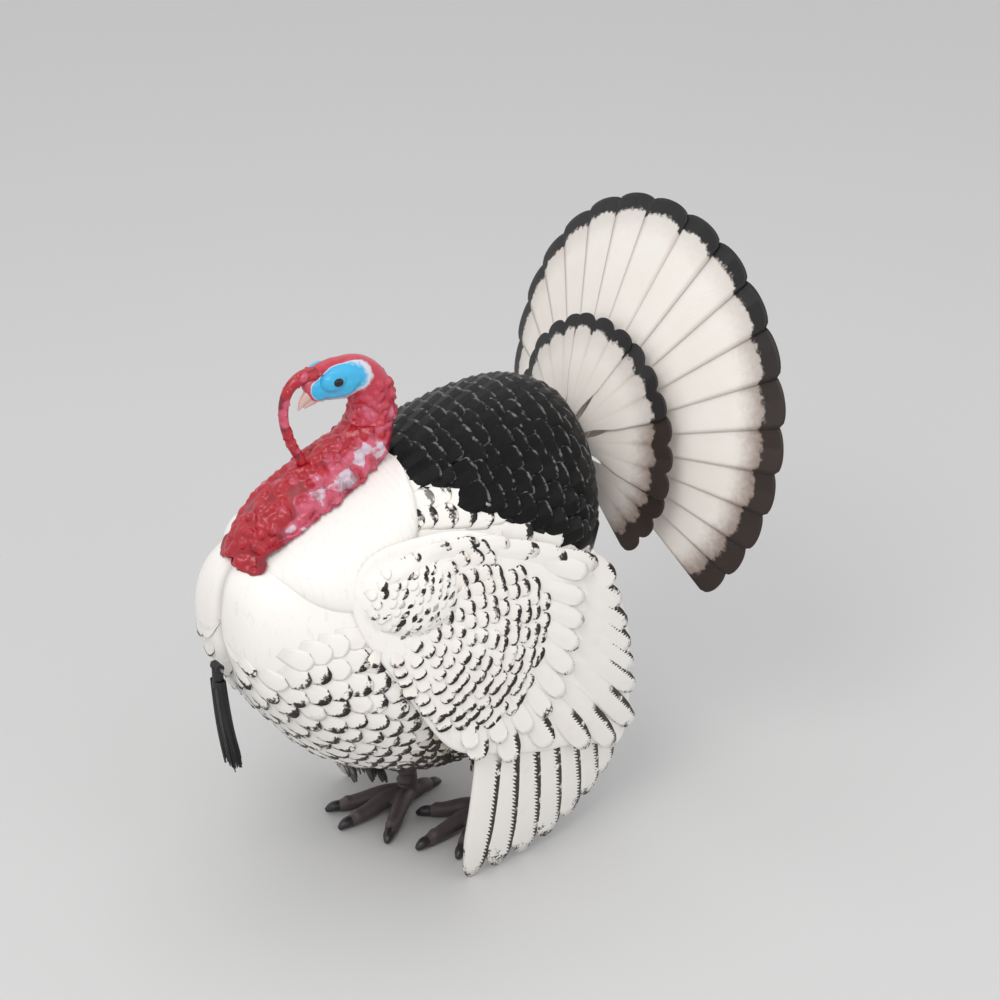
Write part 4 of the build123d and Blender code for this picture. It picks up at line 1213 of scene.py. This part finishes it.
def build_wings():
    """Both folded wings."""
    white = smooth_white("wing_white", stretch=(1, 1, 0.5))
    coverts = painted_feathers("wing_coverts", mark_from=0.80, mark_share=0.84, rim=0.88, rim_from=0.66,
                               tint=0.5, underside_shade=0.6)
    scales = painted_feathers("wing_shoulder", mark_from=0.66, mark_share=0.62, rim=0.9, rim_from=0.5,
                              tint=0.3, underside_shade=0.3)
    plain = painted_feathers("wing_secondaries", mark_from=0.95, mark_share=0.4, rim=0.97, rim_from=0.9,
                             underside_shade=0.3)
    barred = painted_feathers("wing_quills", mark_from=0.97, mark_share=0.9, rim=0.52, rim_from=0.56,
                              one_sided=True, underside_shade=0.3)
    speckled = painted_feathers("wing_top_row", mark_from=0.88, mark_share=0.55, rim=0.93, rim_from=0.6,
                                underside_shade=0.3)
    rows = (("wing_quills", QUILLS, barred, 3.2, 14), ("wing_secondaries", MIDDLE_ROW, plain, 4.6, 10),
            ("wing_top_row", TOP_ROW, speckled, 1.4, 9))
    for side, mirror in SIDES:
        build_wing_base(side, mirror, white)
        build_quills(side, mirror, rows)
        build_coverts(side, mirror, coverts)
        build_shoulder(side, mirror, scales)


# Primaries as side view lines from root to tip, with widths, from the rear one to the front one
PRIMARIES = [((84, 190), (136, 52), 46), ((60, 196), (110, 36), 46), ((36, 200), (80, 22), 46),
             ((12, 204), (48, 10), 46), ((-12, 206), (14, 5), 46), ((-32, 206), (-20, 2), 42),
             ((-48, 204), (-52, 0), 36)]


def build_primaries():
    """Long feathers that hang below the wing, each lying over the one behind it."""
    serrated = painted_feathers("primaries", mark_from=0.97, mark_share=0.99, rim=0.50, rim_from=0.22,
                                one_sided=True, tint=0.3, underside_shade=0.12)
    for side, mirror in SIDES:
        pile = Pile()
        for k, (root, tip, width) in enumerate(PRIMARIES):
            along = np.array(tip, float) - root
            length = np.linalg.norm(along)

            def below_wing(points, lift):
                return on_wing(points, lift - 9.5 + 0.9 * k)

            feather_on_side(pile, below_wing, mirror, root, along / length, length=length, width=width,
                            lift=1.2, thickness=2.6, crown=1.0, rows=18, columns=9, blunt=0.45, waist=0.8,
                            roll=-0.6, mark=0.5)
        piece = pile.piece(f"primary_feathers_{side}", serrated)
        finish_piece(piece, "body", "primaries", f"primaries_{side}")


# ---------------------------------------------------------------- tail fan
HUB_AXIS = np.array([0, cos(radians(10)), -sin(radians(10))])
HUB_UP = np.array([0, sin(radians(10)), cos(radians(10))])
HUB_AT = np.array([0, *HINGE], float)
EYE_R, BOLT_R = 10.0, 4.0                         # ring at a feather's root and the hole through it


def fan_outer(angle):
    """Distance of the fan's rim from the hub for a feather standing at an angle."""
    return 35 * np.cos(angle) + np.sqrt(215 ** 2 - (35 * np.sin(angle)) ** 2)


def fan_direction(angle):
    """Directions in the fan's plane, from angles off the top."""
    return np.cos(angle)[..., None] * HUB_UP + np.sin(angle)[..., None] * np.array([1.0, 0, 0])


def fan_blade(node, slot, body, turn, depth, layer, half_angle, reach, lean, scallops, thickness, material):
    """One rigid fan feather, from the ring at the hub to its scalloped tip, that stands for a CAD node."""
    rows, columns = 56, 13 * scallops
    tone = feather_tone(turn)
    v = np.linspace(-1, 1, columns)
    cell = np.abs(((v + 1) * scallops / 2) % 1 * 2 - 1)
    rim = reach - 9.5 * (1 - np.sqrt(1 - cell ** 2.2))
    inner, neck = BOLT_R + 2, 0.62 * EYE_R
    r = inner + (rim[None, :] - inner) * np.linspace(0, 1, rows)[:, None] ** 0.9
    opened = smoothstep(neck, 70, r)
    spread = half_angle * opened + np.minimum(radians(40), neck / r) * (1 - opened)
    spread = np.maximum(spread, np.minimum(neck / r, half_angle))
    spread = np.minimum(spread, half_angle + 0.6 * neck / r)
    angle = turn + v[None, :] * spread
    arch = 0.16 * layer * (1 - cell[None, :] ** 2) * smoothstep(30, 60, r)
    back = depth + lean * np.maximum(r - CONE_START, 0)
    over = HUB_AT + r[..., None] * fan_direction(angle) + HUB_AXIS * (back - arch)[..., None]
    under = over + HUB_AXIS * thickness
    pile = Pile()
    values = {"inset": rim[None, :] - r, "along": r, "across": r * np.sin(angle - turn),
              "edge": cell[None, :] + 0 * r}
    values = {key: np.tile(given.ravel(), 2) for key, given in values.items()}
    points = np.concatenate([over.reshape(-1, 3), under.reshape(-1, 3)])
    pile.add(points, plate_faces(rows, columns), tone=tone, **values)
    add_eye(pile, depth, thickness, turn, tone)
    finish_piece(pile.piece(f"{node}_painted", material), body, slot, node)


def add_eye(pile, depth, thickness, turn, tone):
    """Flat ring round the hub's bolt."""
    sides = 40
    ring = fan_direction(full_turn(sides) + turn)
    section = [(BOLT_R, 0), (EYE_R, 0), (EYE_R, thickness), (BOLT_R, thickness)]
    points = np.concatenate([HUB_AT + ring * radius + HUB_AXIS * (depth + back) for radius, back in section])
    faces = [(a * sides + j, a * sides + (j + 1) % sides, b * sides + (j + 1) % sides, b * sides + j)
             for a, b in ((0, 1), (1, 2), (2, 3), (3, 0)) for j in range(sides)]
    pile.add(points, faces, tone=tone, inset=200.0, along=EYE_R, across=0.0, edge=0.0)


def feather_tone(turn):
    """How brown a tail feather's tip is: black over the top, brown low on the bird's left."""
    return float(smoothstep(20, 75, np.degrees(turn)))


def build_fan():
    """Tail feathers and, in front of them, covert panels, each a little behind the last one on its side."""
    feathers = fan_feathers("tail_feather", CREAM, 16.0)
    coverts = fan_feathers("tail_covert", (0.84, 0.78, 0.72), 13.5)
    # Prefix, body stem, pieces a side, degrees apart, first depth, depth step, half angle, lean, scallops,
    # thickness and material
    groups = (("tail_feather", "feather", 10, FEATHER_STEP, 21.2, 1.2, 7.2, 0.36, 1, 0.95, feathers),
              ("tail_covert", "covert", 3, COVERT_STEP, 10.0, 1.6, 21.5, 0.30, 3, 1.15, coverts))
    for prefix, stem, most, step, start, layer, half_angle, lean, scallops, thickness, material in groups:
        for k in range(-most, most + 1):
            side = "left" if k > 0 else "right"
            node = f"{prefix}_{side}_{abs(k)}" if k else f"{prefix}_centre"
            depth = start + layer * (2 * abs(k) - (1 if k > 0 else 0))
            turn = radians(step * k)
            reach = fan_outer(turn) if prefix == "tail_feather" else 127 + 2 * cos(turn)
            rigid = k == 0 or (prefix == "tail_feather" and abs(k) == 1)
            body = "fan" if rigid else f"{stem}_{side}_{abs(k)}"
            fan_blade(node, prefix, body, turn, depth, layer, radians(half_angle), reach, lean, scallops,
                      thickness, material)


# ---------------------------------------------------------------- carried-over CAD pieces
STEEL_NODES = ("screw", "rivet", "_pin", "swivel_post")
DARK_FITTINGS = ("neck_socket", "stake_socket", "tail_bracket", "tail_hub", "beard_ferrule")


def paint_cad_pieces(dark):
    """Give the CAD fittings that stay in view their finishes."""
    steel = metal()
    for name, node in frame["nodes"].items():
        is_steel = any(word in name for word in STEEL_NODES) and not name.startswith("tail_bracket_")
        if is_steel or name.startswith(DARK_FITTINGS):
            node.data.materials.clear()
            node.data.materials.append(steel if is_steel else dark)


# ---------------------------------------------------------------- floor, light and camera
VIEW_AZIMUTH, VIEW_ELEVATION, VIEW_DISTANCE = 54.0, 27.0, 2.4
VIEW_TARGET = Vector((0, -0.0071, 0.332))
VIEW_SHIFT = (0.0555, 0.0314)                     # metres from the target to the view's centre, right and up


def build_floor():
    """Wide pale paper sweep, kept out of the decoy's own size."""
    p = Paint("floor_paper")
    p.colour(p.mix(p.noise(3, 3), (0.63, 0.63, 0.63), (0.62, 0.62, 0.62)))
    p.gloss(0.9, coat=0.0, specular=0.1)
    size = 14.0
    mesh = bpy.data.meshes.new("floor")
    corners = [(-size, -size, 0), (size, -size, 0), (size, size, 0), (-size, size, 0)]
    mesh.from_pydata(corners, [], [(0, 1, 2, 3)])
    floor = bpy.data.objects.new("floor", mesh)
    bpy.context.scene.collection.objects.link(floor)
    mesh.materials.append(p.material)


def add_area_light(name, place, size, power, tint=(1, 1, 1)):
    """Round soft light that faces the middle of the decoy."""
    light = bpy.data.lights.new(name, "AREA")
    light.shape, light.size, light.energy, light.color = "DISK", size, power, tint
    lamp = bpy.data.objects.new(name, light)
    lamp.location = place
    lamp.rotation_euler = (Vector((0, 0, 0.3)) - Vector(place)).to_track_quat("-Z", "Y").to_euler()
    bpy.context.scene.collection.objects.link(lamp)


def light_studio():
    """Even pale surroundings with a soft key light from the front left."""
    world = bpy.data.worlds.new("studio")
    world.use_nodes = True
    background = world.node_tree.nodes["Background"]
    background.inputs["Color"].default_value = (0.90, 0.90, 0.905, 1)
    background.inputs["Strength"].default_value = 0.92
    bpy.context.scene.world = world
    add_area_light("key", (0.9, -1.5, 2.3), 1.3, 20, (1.0, 0.985, 0.96))
    add_area_light("fill", (2.2, 0.6, 1.3), 1.6, 5)
    add_area_light("top", (-0.6, 0.5, 2.6), 1.8, 6)


def set_camera():
    """Long lens above and beside the bird's left breast."""
    azimuth, elevation = radians(VIEW_AZIMUTH), radians(VIEW_ELEVATION)
    right = Vector((cos(azimuth), sin(azimuth), 0))
    back = Vector((sin(azimuth) * cos(elevation), -cos(azimuth) * cos(elevation), sin(elevation)))
    up = back.cross(right)
    lens = bpy.data.cameras.new("camera")
    lens.lens, lens.sensor_width = 86.4, 36
    camera = bpy.data.objects.new("camera", lens)
    target = VIEW_TARGET + right * VIEW_SHIFT[0] + up * VIEW_SHIFT[1]
    camera.location = target + back * VIEW_DISTANCE
    camera.rotation_euler = Matrix((right, up, back)).transposed().to_euler()
    bpy.context.scene.collection.objects.link(camera)
    bpy.context.scene.camera = camera


# ---------------------------------------------------------------- build everything
dark_plastic = plain_paint("dark_fitting", (0.020, 0.019, 0.020), (0.008, 0.008, 0.009), 0.5)
build_body()
build_breast_feathers()
build_back()
build_ruff()
build_wings()
build_primaries()
build_neck()
build_neck_plug(dark_plastic)
build_head()
build_snood()
build_beak()
build_eyes()
build_beard()
build_legs()
grey = painted_feathers("thigh_feathers", mark_from=0.66, mark_share=0.95, rim=0.85, rim_from=0.3, tint=0.5,
                        base=(0.60, 0.54, 0.47))
build_thighs(grey)
build_flanks(grey)
build_tuft()
build_fan()
paint_cad_pieces(dark_plastic)
build_floor()
light_studio()
set_camera()
bpy.context.scene.view_settings.view_transform = "Standard"
